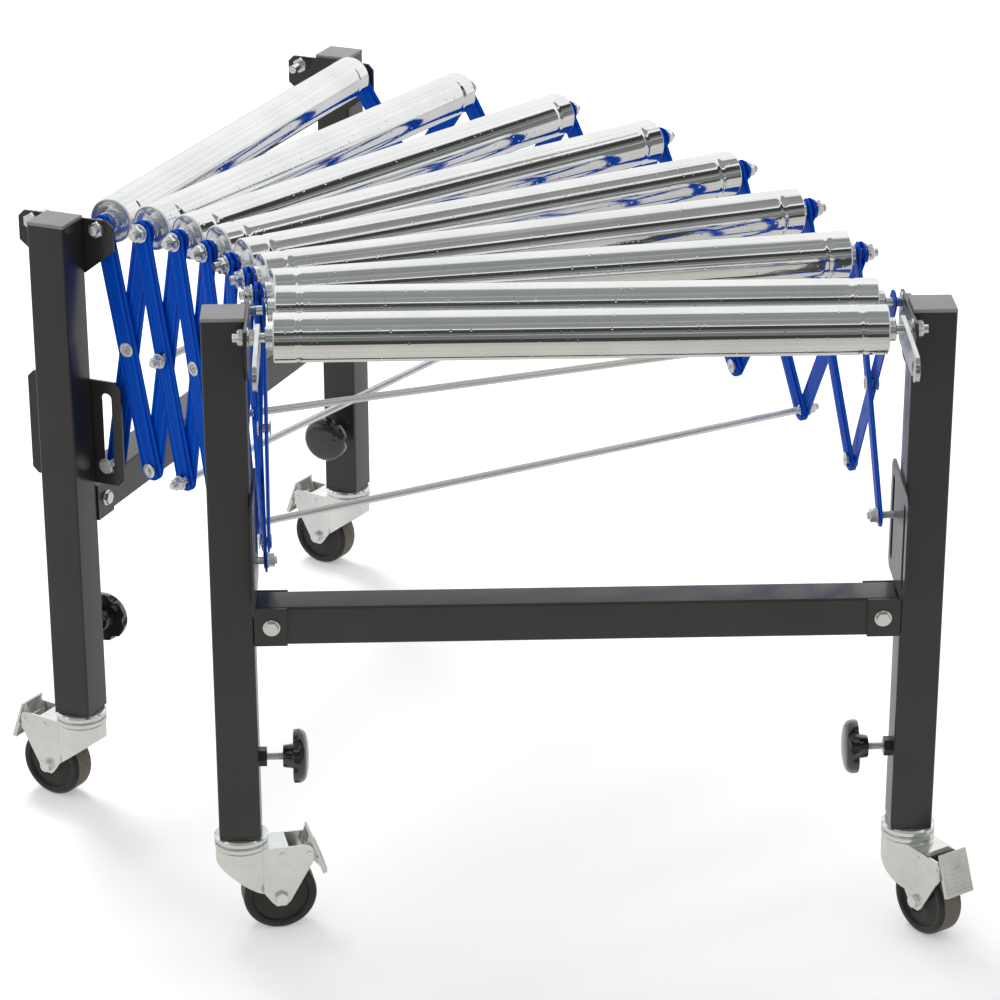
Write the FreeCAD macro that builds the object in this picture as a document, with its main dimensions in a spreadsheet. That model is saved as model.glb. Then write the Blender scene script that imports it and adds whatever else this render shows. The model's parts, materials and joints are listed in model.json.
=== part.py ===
"""Flexible roller conveyor on two caster stands, in its photographed curved pose.

Nine free-running rollers lie fanned between two scissor lattices. The front stand carries
the two rollers beside its posts, the rear stand carries the last one, and the six rollers
between them hang on the lattices alone. Millimetres, +Z up, floor at z = 0.
"""
import FreeCAD, Part
import math
import os
import re
import Sketcher

V = FreeCAD.Vector
TOUCH = 1e-6
doc = FreeCAD.newDocument("FlexibleRollerConveyor")
sheet = doc.addObject("Spreadsheet::Sheet", "Sizes")

SIZES = {
    # rollers
    "roller_diameter": 50, "roller_length": 608, "tube_wall": 1.5,
    "swage_inset": 25, "swage_width": 5, "swage_depth": 0.9,
    "cup_wall": 1.5, "cup_dish": 5, "cup_depth": 12, "cup_flat": 3,
    "boss_diameter": 24, "boss_reach": 8, "boss_edge": 1,
    "axle_diameter": 10, "axle_fit": 0.05, "axle_height": 686,
    # curve of the fan
    "pitch_angle": 9.3, "inner_pitch": 52,
    # scissor bars
    "bar_span": 280, "bar_width": 25, "bar_sheet": 2.1, "bar_rib": 1.4, "rib_width": 17.5, "rib_edge": 1.1,
    "bar_gap": 3, "boss_to_bar": 1.8, "pivot_bore": 11.3, "link_bore": 13, "bar_play": 1.3,
    # rivets, tie rods and small hardware
    "rivet_shank": 9.2, "rivet_head": 16.4, "rivet_head_height": 1.4, "rivet_edge": 1, "rivet_play": 1.7,
    "eyelet_bore": 5, "tie_rod_diameter": 8, "nut_flats": 16, "nut_height": 6.5,
    "small_nut_flats": 13, "small_nut_height": 6.5, "bolt_head_height": 5.3, "bolt_diameter": 8,
    "flange_diameter": 18, "flange_height": 1.6, "axle_bolt_head": 6.3,
    "washer_diameter": 21, "small_washer_diameter": 17, "washer_height": 1.5, "thread_end": 5,
    # stands
    "post_width": 44, "post_wall": 2, "post_corner": 2.5, "post_spacing": 666, "post_rise": 14,
    "post_foot": 119, "cap_height": 4, "cap_edge": 1.2, "cap_plug": 18, "cap_fit": 0.1,
    "axle_offset": 40, "plate_sheet": 3, "plate_reach": 58, "plate_side": 34, "plate_depth": 62,
    "plate_corner": 7, "slot_plate_edge": 14, "slot_margin": 4, "slot_length": 94, "slot_width": 12.8,
    "rail_height": 363, "rail_size": 42, "rail_wall": 2, "rail_corner": 2.5, "clip_sheet": 2.5,
    "clip_reach": 34, "clip_fit": 0.4, "rail_bolt_inset": 15,
    # telescopic legs, clamp knobs
    "leg_fit": 0.4, "leg_wall": 2, "leg_length": 480, "foot_plate": 4, "foot_inset": 0.5,
    "contact_gap": 0.3,
    "knob_height": 203, "weld_nut_flats": 18, "weld_nut_height": 8, "stud_fit": 0.4,
    "stud_reach": 17, "knob_hub_diameter": 24, "knob_hub_length": 11, "knob_diameter": 58,
    "knob_thickness": 16, "lobe_count": 5, "lobe_cut": 30, "lobe_ring": 70, "knob_edge": 5,
    # casters
    "ring_diameter": 57, "ring_height": 6, "ring_neck": 48, "ring_neck_height": 3,
    "swivel_gap": 0.5, "caster_trail": 38.5, "wheel_diameter": 79, "wheel_width": 29,
    "tread_edge": 5, "wheel_bore_fit": 0.08, "wheel_recess": 3, "wheel_slope": 2, "wheel_rim": 8,
    "wheel_hub": 24,
    "cheek_sheet": 2.5, "cheek_gap": 1.5, "cheek_nose": 10, "cheek_corner": 4, "cheek_bend": 20.5,
    "cheek_bend_low": 46, "skirt_radius": 27.5, "skirt_depth": 17,
    "ring_edge": 2, "bridge_reach": 48, "cheek_back": 74, "caster_bolt": 8, "cheek_pin": 5,
    "cheek_pin_along": 40.5, "cheek_pin_drop": 8, "pin_proud": 1, "pedal_width": 36, "pedal_length": 47,
    "pedal_sheet": 2.5, "pedal_slope": 70, "pedal_ear": 2.5, "pedal_ear_gap": 2,
    "pedal_hinge_along": 16.6, "pedal_hinge_drop": 7.2, "pedal_hinge_x": 69.5, "pedal_hinge_z": 89.5,
    "pedal_pin": 5, "pedal_rib": 2, "pedal_ribs": 6, "pedal_dimple": 9, "pedal_dimple_along": 15.5,
    "pedal_rim": 2.2, "pedal_rim_depth": 2.5,
    # couplings between conveyors
    "hook_width": 28, "hook_length": 96, "hook_sheet": 4.5, "hook_bore": 10.7, "hook_mouth": 11,
    "hook_throat": 88, "hook_lean": 87, "hook_inset": 5, "coupling_reach": 26,
    # feet of the lattices at the stands, tie rods
    "slot_bolt_near": 0.8, "slot_bolt_far": 13.4,
    "rod_play": 2, "middle_rod_drop": 1.3,
}
for row, (alias, value) in enumerate(SIZES.items(), start=1):
    sheet.set(f"A{row}", alias)
    sheet.set(f"B{row}", str(value))
    sheet.setAlias(f"B{row}", alias)
doc.recompute()

ALIAS = re.compile(r"\b(" + "|".join(SIZES) + r")\b")


def bound(expression):
    """The same formula with every size read from the sheet."""
    return ALIAS.sub(r"Sizes.\1", str(expression))


def size(expression):
    """The number that a formula of sizes gives now."""
    return float(doc.Sizes.evalExpression(bound(expression)))


def tie(thing, **formulas):
    """Bind properties of an object to formulas of sizes."""
    for name, formula in formulas.items():
        thing.setExpression(name, bound(formula))
    return thing


def new_body(name):
    return doc.addObject("PartDesign::Body", name)


def new_sketch(body, plane, lift="0"):
    """A sketch on one of the body's origin planes, lifted along its normal."""
    sketch = body.newObject("Sketcher::SketchObject", f"{body.Name}_Sketch")
    origin = next(f for f in body.Origin.OriginFeatures if f.Role == plane)
    sketch.AttachmentSupport = [(origin, "")]
    sketch.MapMode = "FlatFace"
    sketch.setExpression("AttachmentOffset.Base.z", bound(lift))
    return sketch


def pin_point(sketch, geometry, point, x, y):
    """Hold a sketch point at two formulas."""
    for kind, formula in (("DistanceX", x), ("DistanceY", y)):
        index = sketch.addConstraint(Sketcher.Constraint(kind, -1, 1, geometry, point, size(formula)))
        sketch.setExpression(f"Constraints[{index}]", bound(formula))


def polygon(sketch, corners):
    """A closed outline of straight sides through corners given as formulas."""
    places = [V(size(x), size(y), 0) for x, y in corners]
    first = len(sketch.Geometry)
    count = len(places)
    for k in range(count):
        sketch.addGeometry(Part.LineSegment(places[k], places[(k + 1) % count]), False)
    for k in range(count):
        sketch.addConstraint(Sketcher.Constraint("Coincident", first + k, 2, first + (k + 1) % count, 1))
    for k, (x, y) in enumerate(corners):
        pin_point(sketch, first + k, 1, x, y)


def circle(sketch, x, y, diameter):
    place = V(size(x), size(y), 0)
    index = sketch.addGeometry(Part.Circle(place, V(0, 0, 1), size(diameter) / 2), False)
    pin_point(sketch, index, 3, x, y)
    limit = sketch.addConstraint(Sketcher.Constraint("Diameter", index, size(diameter)))
    sketch.setExpression(f"Constraints[{limit}]", bound(diameter))


def slot(sketch, x0, y0, x1, y1, width):
    """A round-ended slot between two centres that share an x or a y."""
    radius = size(width) / 2
    start = V(size(x0), size(y0), 0)
    end = V(size(x1), size(y1), 0)
    angle = math.atan2(end.y - start.y, end.x - start.x)
    side = V(-math.sin(angle), math.cos(angle), 0) * radius
    quarter = math.pi / 2
    first = len(sketch.Geometry)
    near = Part.Circle(start, V(0, 0, 1), radius)
    far = Part.Circle(end, V(0, 0, 1), radius)
    sketch.addGeometry(Part.ArcOfCircle(near, angle + quarter, angle + 3 * quarter), False)
    sketch.addGeometry(Part.LineSegment(start - side, end - side), False)
    sketch.addGeometry(Part.ArcOfCircle(far, angle - quarter, angle + quarter), False)
    sketch.addGeometry(Part.LineSegment(end + side, start + side), False)
    for one, other in ((0, 1), (1, 2), (2, 3), (3, 0)):
        sketch.addConstraint(Sketcher.Constraint("Tangent", first + one, 2, first + other, 1))
    pin_point(sketch, first, 3, x0, y0)
    pin_point(sketch, first + 2, 3, x1, y1)
    limit = sketch.addConstraint(Sketcher.Constraint("Radius", first, radius))
    sketch.setExpression(f"Constraints[{limit}]", bound(f"({width}) / 2"))


def pad(body, sketch, length, reverse=False, middle=False):
    feature = body.newObject("PartDesign::Pad", f"{body.Name}_Pad")
    feature.Profile = sketch
    feature.Reversed = reverse
    feature.Midplane = middle
    tie(feature, Length=length)
    doc.recompute()
    return feature


def pocket(body, sketch, length=None, reverse=False, middle=False):
    """Cut a sketch out of the body, right through when no depth is given."""
    before = body.Shape.Volume
    feature = body.newObject("PartDesign::Pocket", f"{body.Name}_Pocket")
    feature.Profile = sketch
    feature.Reversed = reverse
    feature.Midplane = middle
    if length is None:
        feature.Type = "ThroughAll"
    else:
        tie(feature, Length=length)
    doc.recompute()
    if body.Shape.Volume >= before:
        raise RuntimeError(f"{feature.Name} cuts nothing")
    return feature


def revolve(body, sketch, axis="H_Axis"):
    feature = body.newObject("PartDesign::Revolution", f"{body.Name}_Revolution")
    feature.Profile = sketch
    feature.ReferenceAxis = (sketch, [axis])
    feature.Angle = 360
    doc.recompute()
    return feature


def round_edges(body, chosen, radius):
    """Fillet the edges of the body's tip that a test picks."""
    tip = body.Tip
    names = [f"Edge{k}" for k, edge in enumerate(tip.Shape.Edges, start=1) if chosen(edge)]
    feature = body.newObject("PartDesign::Fillet", f"{body.Name}_Fillet")
    feature.Base = (tip, names)
    tie(feature, Radius=radius)
    doc.recompute()
    return feature


def runs_along(axis):
    """A test for straight edges along one axis."""
    def test(edge):
        if edge.Curve.TypeId != "Part::GeomLine":
            return False
        along = edge.tangentAt(edge.FirstParameter)
        return along.cross(axis).Length < TOUCH
    return test


def hexagon(sketch, flats):
    """A hexagon about the sketch origin, by its width over flats."""
    reach = f"({flats}) / sqrt(3)"
    polygon(sketch, [(f"{reach} * cos({60 * k} deg)", f"{reach} * sin({60 * k} deg)") for k in range(6)])


def nut(name, flats, bore, height):
    """A hexagon nut on the Z axis, standing on the XY plane."""
    body = new_body(name)
    outline = new_sketch(body, "XY_Plane")
    hexagon(outline, flats)
    circle(outline, "0", "0", bore)
    pad(body, outline, height)
    return body


def bolt(name, flats, head, shank, length, flange=None):
    """A hexagon bolt on the Z axis: head above the XY plane, shank below it."""
    body = new_body(name)
    outline = new_sketch(body, "XY_Plane")
    hexagon(outline, flats)
    pad(body, outline, head)
    if flange:
        collar = new_sketch(body, "XY_Plane")
        circle(collar, "0", "0", flange)
        pad(body, collar, "flange_height")
    stem = new_sketch(body, "XY_Plane")
    circle(stem, "0", "0", shank)
    pad(body, stem, length, reverse=True)
    return body


def washer(name, diameter, bore):
    body = new_body(name)
    outline = new_sketch(body, "XY_Plane")
    circle(outline, "0", "0", diameter)
    circle(outline, "0", "0", bore)
    pad(body, outline, "washer_height")
    return body


def rod(name, diameter, length):
    """A round bar centred on the origin, along the X axis."""
    body = new_body(name)
    outline = new_sketch(body, "YZ_Plane")
    circle(outline, "0", "0", diameter)
    pad(body, outline, length, middle=True)
    return body


# Stack of pieces from the middle of an axle outwards
ROLLER_END = "roller_length / 2"
BOSS_END = f"({ROLLER_END} + boss_reach)"
BAR_DEPTH = "(bar_sheet + bar_rib)"
INNER_BAR = f"({BOSS_END} + boss_to_bar)"
INNER_BACK = f"({INNER_BAR} + {BAR_DEPTH})"
OUTER_BACK = f"({INNER_BACK} + bar_gap)"
OUTER_BAR = f"({OUTER_BACK} + {BAR_DEPTH})"
PLATE_FACE = "(post_spacing / 2 - plate_sheet)"
POST_FACE = "(post_spacing / 2)"
POST_TOP = "(axle_height + post_rise)"
SLOT_LOW = "(axle_height - bar_span - slot_margin)"
LEG_WIDTH = "(post_width - 2 * post_wall - 2 * leg_fit)"


def roller_tube():
    """Plated steel tube with a ring swaged in near each end."""
    body = new_body("RollerTube")
    half = ROLLER_END
    radius = "roller_diameter / 2"
    groove = [("swage_inset + swage_width / 2", "0"), ("swage_inset", "swage_depth"),
              ("swage_inset - swage_width / 2", "0")]
    profile = [(f"-{half}", f"{radius} - tube_wall"), (f"-{half}", radius)]
    profile += [(f"-{half} + {x}", f"{radius} - {d}") for x, d in reversed(groove)]
    profile += [(f"{half} - ({x})", f"{radius} - {d}") for x, d in groove]
    profile += [(half, radius), (half, f"{radius} - tube_wall")]
    inner = [(f"{half} - ({x})", f"{radius} - tube_wall - {d}") for x, d in reversed(groove)]
    inner += [(f"-{half} + {x}", f"{radius} - tube_wall - {d}") for x, d in groove]
    sketch = new_sketch(body, "XZ_Plane")
    polygon(sketch, profile + inner)
    revolve(body, sketch)
    return body


def bearing_cup():
    """Pressed cup in the tube's end: a dished disc round the boss that turns on the axle."""
    body = new_body("BearingCup")
    rim = "roller_diameter / 2 - tube_wall"
    boss = "boss_diameter / 2"
    bore = "axle_diameter / 2 + axle_fit"
    sketch = new_sketch(body, "XZ_Plane")
    polygon(sketch, [
        ("0", rim), ("0", f"{rim} - cup_wall"), ("-cup_dish", f"{boss} + cup_flat"), ("-cup_dish", boss),
        ("boss_reach - boss_edge", boss), ("boss_reach", f"{boss} - boss_edge"), ("boss_reach", bore),
        ("-cup_depth", bore), ("-cup_depth", boss), ("-cup_dish - cup_wall", f"{boss} + cup_flat"),
        ("-cup_wall", f"{rim} - cup_wall"), ("-cup_depth", f"{rim} - cup_wall"), ("-cup_depth", rim)])
    revolve(body, sketch)
    return body


def scissor_bar():
    """Pressed strip with round ends, a raised middle and three pivot holes, along the X axis."""
    body = new_body("ScissorBar")
    strip = new_sketch(body, "XY_Plane")
    slot(strip, "0", "0", "bar_span", "0", "bar_width")
    pad(body, strip, "bar_sheet")
    rib = new_sketch(body, "XY_Plane", "bar_sheet")
    slot(rib, "0", "0", "bar_span", "0", "rib_width")
    pad(body, rib, "bar_rib")
    top = size(BAR_DEPTH)
    round_edges(body, lambda edge: edge.BoundBox.ZMin > top - TOUCH, "rib_edge")
    holes = new_sketch(body, "XY_Plane")
    circle(holes, "0", "0", "pivot_bore")
    circle(holes, "bar_span / 2", "0", "link_bore")
    circle(holes, "bar_span", "0", "link_bore")
    pocket(body, holes, BAR_DEPTH, reverse=True)
    return body


def eyelet_rivet():
    """Tubular rivet through two bars: its head sits on the bar that carries it."""
    body = new_body("EyeletRivet")
    top = BAR_DEPTH
    low = f"(-bar_gap - {BAR_DEPTH} - rivet_play)"
    sketch = new_sketch(body, "XZ_Plane")
    polygon(sketch, [
        ("eyelet_bore / 2", f"{low} - rivet_head_height"), ("rivet_head / 2", f"{low} - rivet_head_height"),
        ("rivet_head / 2", low), ("rivet_shank / 2", low), ("rivet_shank / 2", top),
        ("rivet_head / 2", top), ("rivet_head / 2 - rivet_edge", f"{top} + rivet_head_height"),
        ("eyelet_bore / 2", f"{top} + rivet_head_height")])
    revolve(body, sketch, "V_Axis")
    return body


def welded_post():
    """Square post with its welded axle plate, slot plate, rail clip and clamp nut on +X."""
    body = new_body("WeldedPost")
    half = "post_width / 2"
    section = new_sketch(body, "XY_Plane", "post_foot")
    polygon(section, [(f"-{half}", f"-{half}"), (half, f"-{half}"), (half, half), (f"-{half}", half)])
    pad(body, section, f"{POST_TOP} - cap_height - post_foot")
    round_edges(body, runs_along(V(0, 0, 1)), "post_corner")
    bore = f"({half} - post_wall)"
    hollow = new_sketch(body, "XY_Plane", "post_foot")
    polygon(hollow, [(f"-{bore}", f"-{bore}"), (bore, f"-{bore}"), (bore, bore), (f"-{bore}", bore)])
    pocket(body, hollow, f"{POST_TOP} - post_foot", reverse=True)
    axle_plate = new_sketch(body, "YZ_Plane", half)
    top = f"{POST_TOP} - cap_height"
    polygon(axle_plate, [
        ("-plate_reach", f"{top} - plate_side"), (f"-{half}", f"{top} - plate_depth"),
        (half, f"{top} - plate_depth"), ("plate_reach", f"{top} - plate_side"),
        ("plate_reach", f"{top} - plate_corner"), ("plate_reach - plate_corner", top),
        ("-plate_reach + plate_corner", top), ("-plate_reach", f"{top} - plate_corner")])
    for side in ("-", ""):
        circle(axle_plate, f"{side}axle_offset", "axle_height", "axle_diameter + 2 * axle_fit")
    pad(body, axle_plate, "plate_sheet")
    slot_plate = new_sketch(body, "YZ_Plane", half)
    low = f"({SLOT_LOW} - slot_plate_edge)"
    high = f"({SLOT_LOW} + slot_length + slot_plate_edge)"
    edge = "plate_corner"
    reach = "plate_reach"
    polygon(slot_plate, [
        (f"-{reach} + {edge}", low), (f"{reach} - {edge}", low), (reach, f"{low} + {edge}"),
        (reach, f"{high} - {edge}"), (f"{reach} - {edge}", high), (f"-{reach} + {edge}", high),
        (f"-{reach}", f"{high} - {edge}"), (f"-{reach}", f"{low} + {edge}")])
    for side in ("-", ""):
        slot(slot_plate, f"{side}axle_offset", f"{SLOT_LOW} + slot_width / 2", f"{side}axle_offset",
             f"{SLOT_LOW} + slot_length - slot_width / 2", "slot_width")
    pad(body, slot_plate, "plate_sheet")
    clip = new_sketch(body, "XY_Plane", "rail_height - rail_size / 2")
    inside = "(rail_size / 2 + clip_fit)"
    outside = f"({inside} + clip_sheet)"
    back = f"{half} + clip_sheet"
    front = f"{half} + clip_reach"
    polygon(clip, [
        (half, f"-{outside}"), (front, f"-{outside}"), (front, f"-{inside}"), (back, f"-{inside}"),
        (back, inside), (front, inside), (front, outside), (half, outside)])
    pad(body, clip, "rail_size")
    bolt_hole = new_sketch(body, "XZ_Plane")
    inset = f"{half} + clip_sheet + clip_fit + rail_bolt_inset"
    circle(bolt_hole, inset, "rail_height", "bolt_diameter + 2 * axle_fit")
    pocket(body, bolt_hole, "post_width + 4 * rail_size", middle=True)
    weld_nut = new_sketch(body, "YZ_Plane", half)
    corners = []
    for k in range(6):
        corners.append((f"weld_nut_flats / sqrt(3) * cos({60 * k} deg)",
                        f"knob_height + weld_nut_flats / sqrt(3) * sin({60 * k} deg)"))
    polygon(weld_nut, corners)
    pad(body, weld_nut, "weld_nut_height")
    stud_hole = new_sketch(body, "YZ_Plane", "0")
    circle(stud_hole, "0", "knob_height", "bolt_diameter + 2 * stud_fit")
    pocket(body, stud_hole, f"{half} + 2 * weld_nut_height", reverse=True)
    return body


def post_cap():
    """Plastic end cap: a chamfered square lid on a hollow plug."""
    body = new_body("PostCap")
    half = "post_width / 2"
    lid = new_sketch(body, "XY_Plane", f"{POST_TOP} - cap_height")
    polygon(lid, [(f"-{half}", f"-{half}"), (half, f"-{half}"), (half, half), (f"-{half}", half)])
    pad(body, lid, "cap_height")
    top = size(POST_TOP)
    upright = runs_along(V(0, 0, 1))
    round_edges(body, lambda edge: edge.BoundBox.ZMin > top - TOUCH or upright(edge), "cap_edge")
    plug = f"({half} - post_wall - cap_fit)"
    stem = new_sketch(body, "XY_Plane", f"{POST_TOP} - cap_height")
    polygon(stem, [(f"-{plug}", f"-{plug}"), (plug, f"-{plug}"), (plug, plug), (f"-{plug}", plug)])
    pad(body, stem, "cap_plug", reverse=True)
    bore = f"({plug} - 2 * cap_edge)"
    hollow = new_sketch(body, "XY_Plane", f"{POST_TOP} - cap_height - cap_plug")
    polygon(hollow, [(f"-{bore}", f"-{bore}"), (bore, f"-{bore}"), (bore, bore), (f"-{bore}", bore)])
    pocket(body, hollow, "cap_plug", reverse=True)
    return body


def cross_rail():
    """Square tube across a stand, along X, with a bolt hole near each end."""
    body = new_body("CrossRail")
    half = "rail_size / 2"
    bore = f"({half} - rail_wall)"
    length = "(post_spacing - 2 * clip_sheet - 2 * clip_fit)"
    section = new_sketch(body, "YZ_Plane")
    polygon(section, [(f"-{half}", f"-{half}"), (half, f"-{half}"), (half, half), (f"-{half}", half)])
    pad(body, section, length, middle=True)
    round_edges(body, runs_along(V(1, 0, 0)), "rail_corner")
    hollow = new_sketch(body, "YZ_Plane")
    polygon(hollow, [(f"-{bore}", f"-{bore}"), (bore, f"-{bore}"), (bore, bore), (f"-{bore}", bore)])
    pocket(body, hollow, length, middle=True)
    holes = new_sketch(body, "XZ_Plane")
    for side in ("-", ""):
        circle(holes, f"{side}({length} / 2 - rail_bolt_inset)", "0", "bolt_diameter + 2 * axle_fit")
    pocket(body, holes, "2 * rail_size", middle=True)
    return body


def inner_leg():
    """Telescopic square tube with a welded foot plate for the caster."""
    body = new_body("InnerLeg")
    half = f"({LEG_WIDTH} / 2)"
    foot = "(post_foot - contact_gap)"
    section = new_sketch(body, "XY_Plane", f"{foot}")
    polygon(section, [(f"-{half}", f"-{half}"), (half, f"-{half}"), (half, half), (f"-{half}", half)])
    pad(body, section, "leg_length")
    bore = f"({half} - leg_wall)"
    hollow = new_sketch(body, "XY_Plane", f"{foot}")
    polygon(hollow, [(f"-{bore}", f"-{bore}"), (bore, f"-{bore}"), (bore, bore), (f"-{bore}", bore)])
    pocket(body, hollow, "leg_length", reverse=True)
    edge = "(post_width / 2 - foot_inset)"
    plate = new_sketch(body, "XY_Plane", f"{foot}")
    polygon(plate, [(f"-{edge}", f"-{edge}"), (edge, f"-{edge}"), (edge, edge), (f"-{edge}", edge)])
    pad(body, plate, "foot_plate", reverse=True)
    return body


def clamp_knob():
    """Five-lobed star knob on the X axis: its hub starts at the weld nut."""
    body = new_body("ClampKnob")
    start = "post_width / 2 + weld_nut_height + stud_reach"
    hub = new_sketch(body, "YZ_Plane", start)
    circle(hub, "0", "0", "knob_hub_diameter")
    pad(body, hub, "knob_hub_length")
    star = new_sketch(body, "YZ_Plane", f"{start} + knob_hub_length")
    circle(star, "0", "0", "knob_diameter")
    pad(body, star, "knob_thickness")
    lobe = new_sketch(body, "YZ_Plane", f"{start} + knob_hub_length")
    circle(lobe, "0", "lobe_ring / 2", "lobe_cut")
    cut = pocket(body, lobe, "knob_thickness", reverse=True)
    ring = body.newObject("PartDesign::PolarPattern", "KnobLobes")
    ring.Originals = [cut]
    ring.Axis = (lobe, ["N_Axis"])
    ring.Angle = 360
    tie(ring, Occurrences="lobe_count")
    body.Tip = ring
    doc.recompute()
    back = size(f"{start} + knob_hub_length + knob_thickness")
    round_edges(body, lambda edge: edge.BoundBox.XMin > back - TOUCH, "knob_edge")
    return body


def clamp_stud():
    """Threaded stud of the knob, which presses on the inner leg."""
    body = new_body("ClampStud")
    tip = "post_width / 2 - post_wall - leg_fit + contact_gap"
    stem = new_sketch(body, "YZ_Plane", tip)
    circle(stem, "0", "0", "bolt_diameter")
    pad(body, stem, f"post_width / 2 + weld_nut_height + stud_reach - ({tip})")
    return body


CASTER_TOP = "(post_foot - contact_gap - foot_plate)"
RING_TOP = f"({CASTER_TOP} - swivel_gap)"
FORK_TOP = f"({RING_TOP} - 2 * ring_height - ring_neck_height)"
CHEEK_IN = "(wheel_width / 2 + cheek_gap)"
EAR_DROP = "(pedal_hinge_drop + pedal_pin)"
CHEEK_PIN_Z = f"({FORK_TOP} - cheek_pin_drop)"


def caster_fork():
    """Double swivel ring over a bent sheet: a round skirt and two cheeks down to the wheel bolt."""
    body = new_body("CasterFork")
    rings = new_sketch(body, "XZ_Plane")
    outer = "ring_diameter / 2"
    neck = "ring_neck / 2"
    edge = "ring_edge"
    polygon(rings, [
        ("0", FORK_TOP), (f"{outer} - {edge}", FORK_TOP), (outer, f"{FORK_TOP} + {edge}"),
        (outer, f"{FORK_TOP} + ring_height"), (neck, f"{FORK_TOP} + ring_height"),
        (neck, f"{FORK_TOP} + ring_height + ring_neck_height"),
        (outer, f"{FORK_TOP} + ring_height + ring_neck_height"), (outer, f"{RING_TOP} - {edge}"),
        (f"{outer} - {edge}", RING_TOP), ("0", RING_TOP)])
    revolve(body, rings, "V_Axis")
    low = "(wheel_diameter / 2 - cheek_nose)"
    sheet_height = f"{FORK_TOP} - {low}"
    skirt = new_sketch(body, "XY_Plane", FORK_TOP)
    circle(skirt, "0", "0", "2 * skirt_radius")
    pad(body, skirt, sheet_height, reverse=True)
    arms = new_sketch(body, "XY_Plane", FORK_TOP)
    wide = f"({CHEEK_IN} + cheek_sheet)"
    polygon(arms, [("0", f"-{wide}"), ("cheek_back", f"-{wide}"), ("cheek_back", wide), ("0", wide)])
    pad(body, arms, sheet_height, reverse=True)
    room = new_sketch(body, "XY_Plane", f"{FORK_TOP} - cheek_sheet")
    slot(room, "0", "0", "2 * cheek_back", "0", f"2 * {CHEEK_IN}")
    pocket(body, room, sheet_height)
    bell = new_sketch(body, "XY_Plane", f"{FORK_TOP} - cheek_sheet")
    circle(bell, "0", "0", "2 * (skirt_radius - cheek_sheet)")
    pocket(body, bell, sheet_height)
    back = new_sketch(body, "XY_Plane", FORK_TOP)
    polygon(back, [("bridge_reach", f"-{CHEEK_IN}"), ("2 * cheek_back", f"-{CHEEK_IN}"),
                   ("2 * cheek_back", CHEEK_IN), ("bridge_reach", CHEEK_IN)])
    pocket(body, back, "2 * cheek_sheet", middle=True)
    side = new_sketch(body, "XZ_Plane")
    hub_z = "wheel_diameter / 2"
    polygon(side, [
        ("-2 * skirt_radius", f"{FORK_TOP} - skirt_depth"), ("-skirt_radius", f"{FORK_TOP} - skirt_depth"),
        ("cheek_bend", "cheek_bend_low"), ("caster_trail - cheek_nose", f"{hub_z} - cheek_nose / 2"),
        ("caster_trail - cheek_nose / 2", f"{hub_z} - cheek_nose"),
        ("caster_trail - cheek_nose / 2", "-wheel_diameter"), ("-2 * skirt_radius", "-wheel_diameter")])
    pocket(body, side, "4 * skirt_radius", middle=True)
    rear = new_sketch(body, "XZ_Plane")
    polygon(rear, [
        ("caster_trail + cheek_nose / 2", f"{hub_z} - cheek_nose"),
        ("caster_trail + cheek_nose", f"{hub_z} - cheek_nose / 2"),
        ("cheek_back", "pedal_hinge_z - cheek_nose"), ("2 * cheek_back", "pedal_hinge_z - cheek_nose"),
        ("2 * cheek_back", "-wheel_diameter"), ("caster_trail + cheek_nose / 2", "-wheel_diameter")])
    polygon(rear, [("cheek_back - cheek_corner", FORK_TOP), ("2 * cheek_back", FORK_TOP),
                   ("2 * cheek_back", f"{FORK_TOP} - cheek_corner"),
                   ("cheek_back", f"{FORK_TOP} - cheek_corner")])
    pocket(body, rear, "4 * skirt_radius", middle=True)
    hole = new_sketch(body, "XZ_Plane")
    circle(hole, "caster_trail", hub_z, "caster_bolt")
    circle(hole, "pedal_hinge_x", "pedal_hinge_z", "pedal_pin")
    circle(hole, "cheek_pin_along", CHEEK_PIN_Z, "cheek_pin")
    pocket(body, hole, "4 * wheel_width", middle=True)
    return body


def caster_wheel():
    """Hard wheel with rounded tread edges and a recessed web, turning about the X axis."""
    body = new_body("CasterWheel")
    half = "wheel_width / 2"
    radius = "wheel_diameter / 2"
    web = f"({half} - wheel_recess)"
    bore = "caster_bolt / 2 + wheel_bore_fit"
    flank = [(half, f"{radius} - tread_edge"), (half, f"{radius} - wheel_rim"),
             (web, f"{radius} - wheel_rim - wheel_slope"), (web, "wheel_hub / 2 + wheel_slope"),
             (half, "wheel_hub / 2")]
    profile = [(f"{half} - tread_edge", radius), (f"{half} - tread_edge / 3", f"{radius} - tread_edge / 3")]
    profile += flank + [(half, bore)]
    mirrored = [(f"-({x})", r) for x, r in reversed(profile)]
    sketch = new_sketch(body, "XZ_Plane")
    polygon(sketch, profile + mirrored)
    revolve(body, sketch)
    return body


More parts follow.
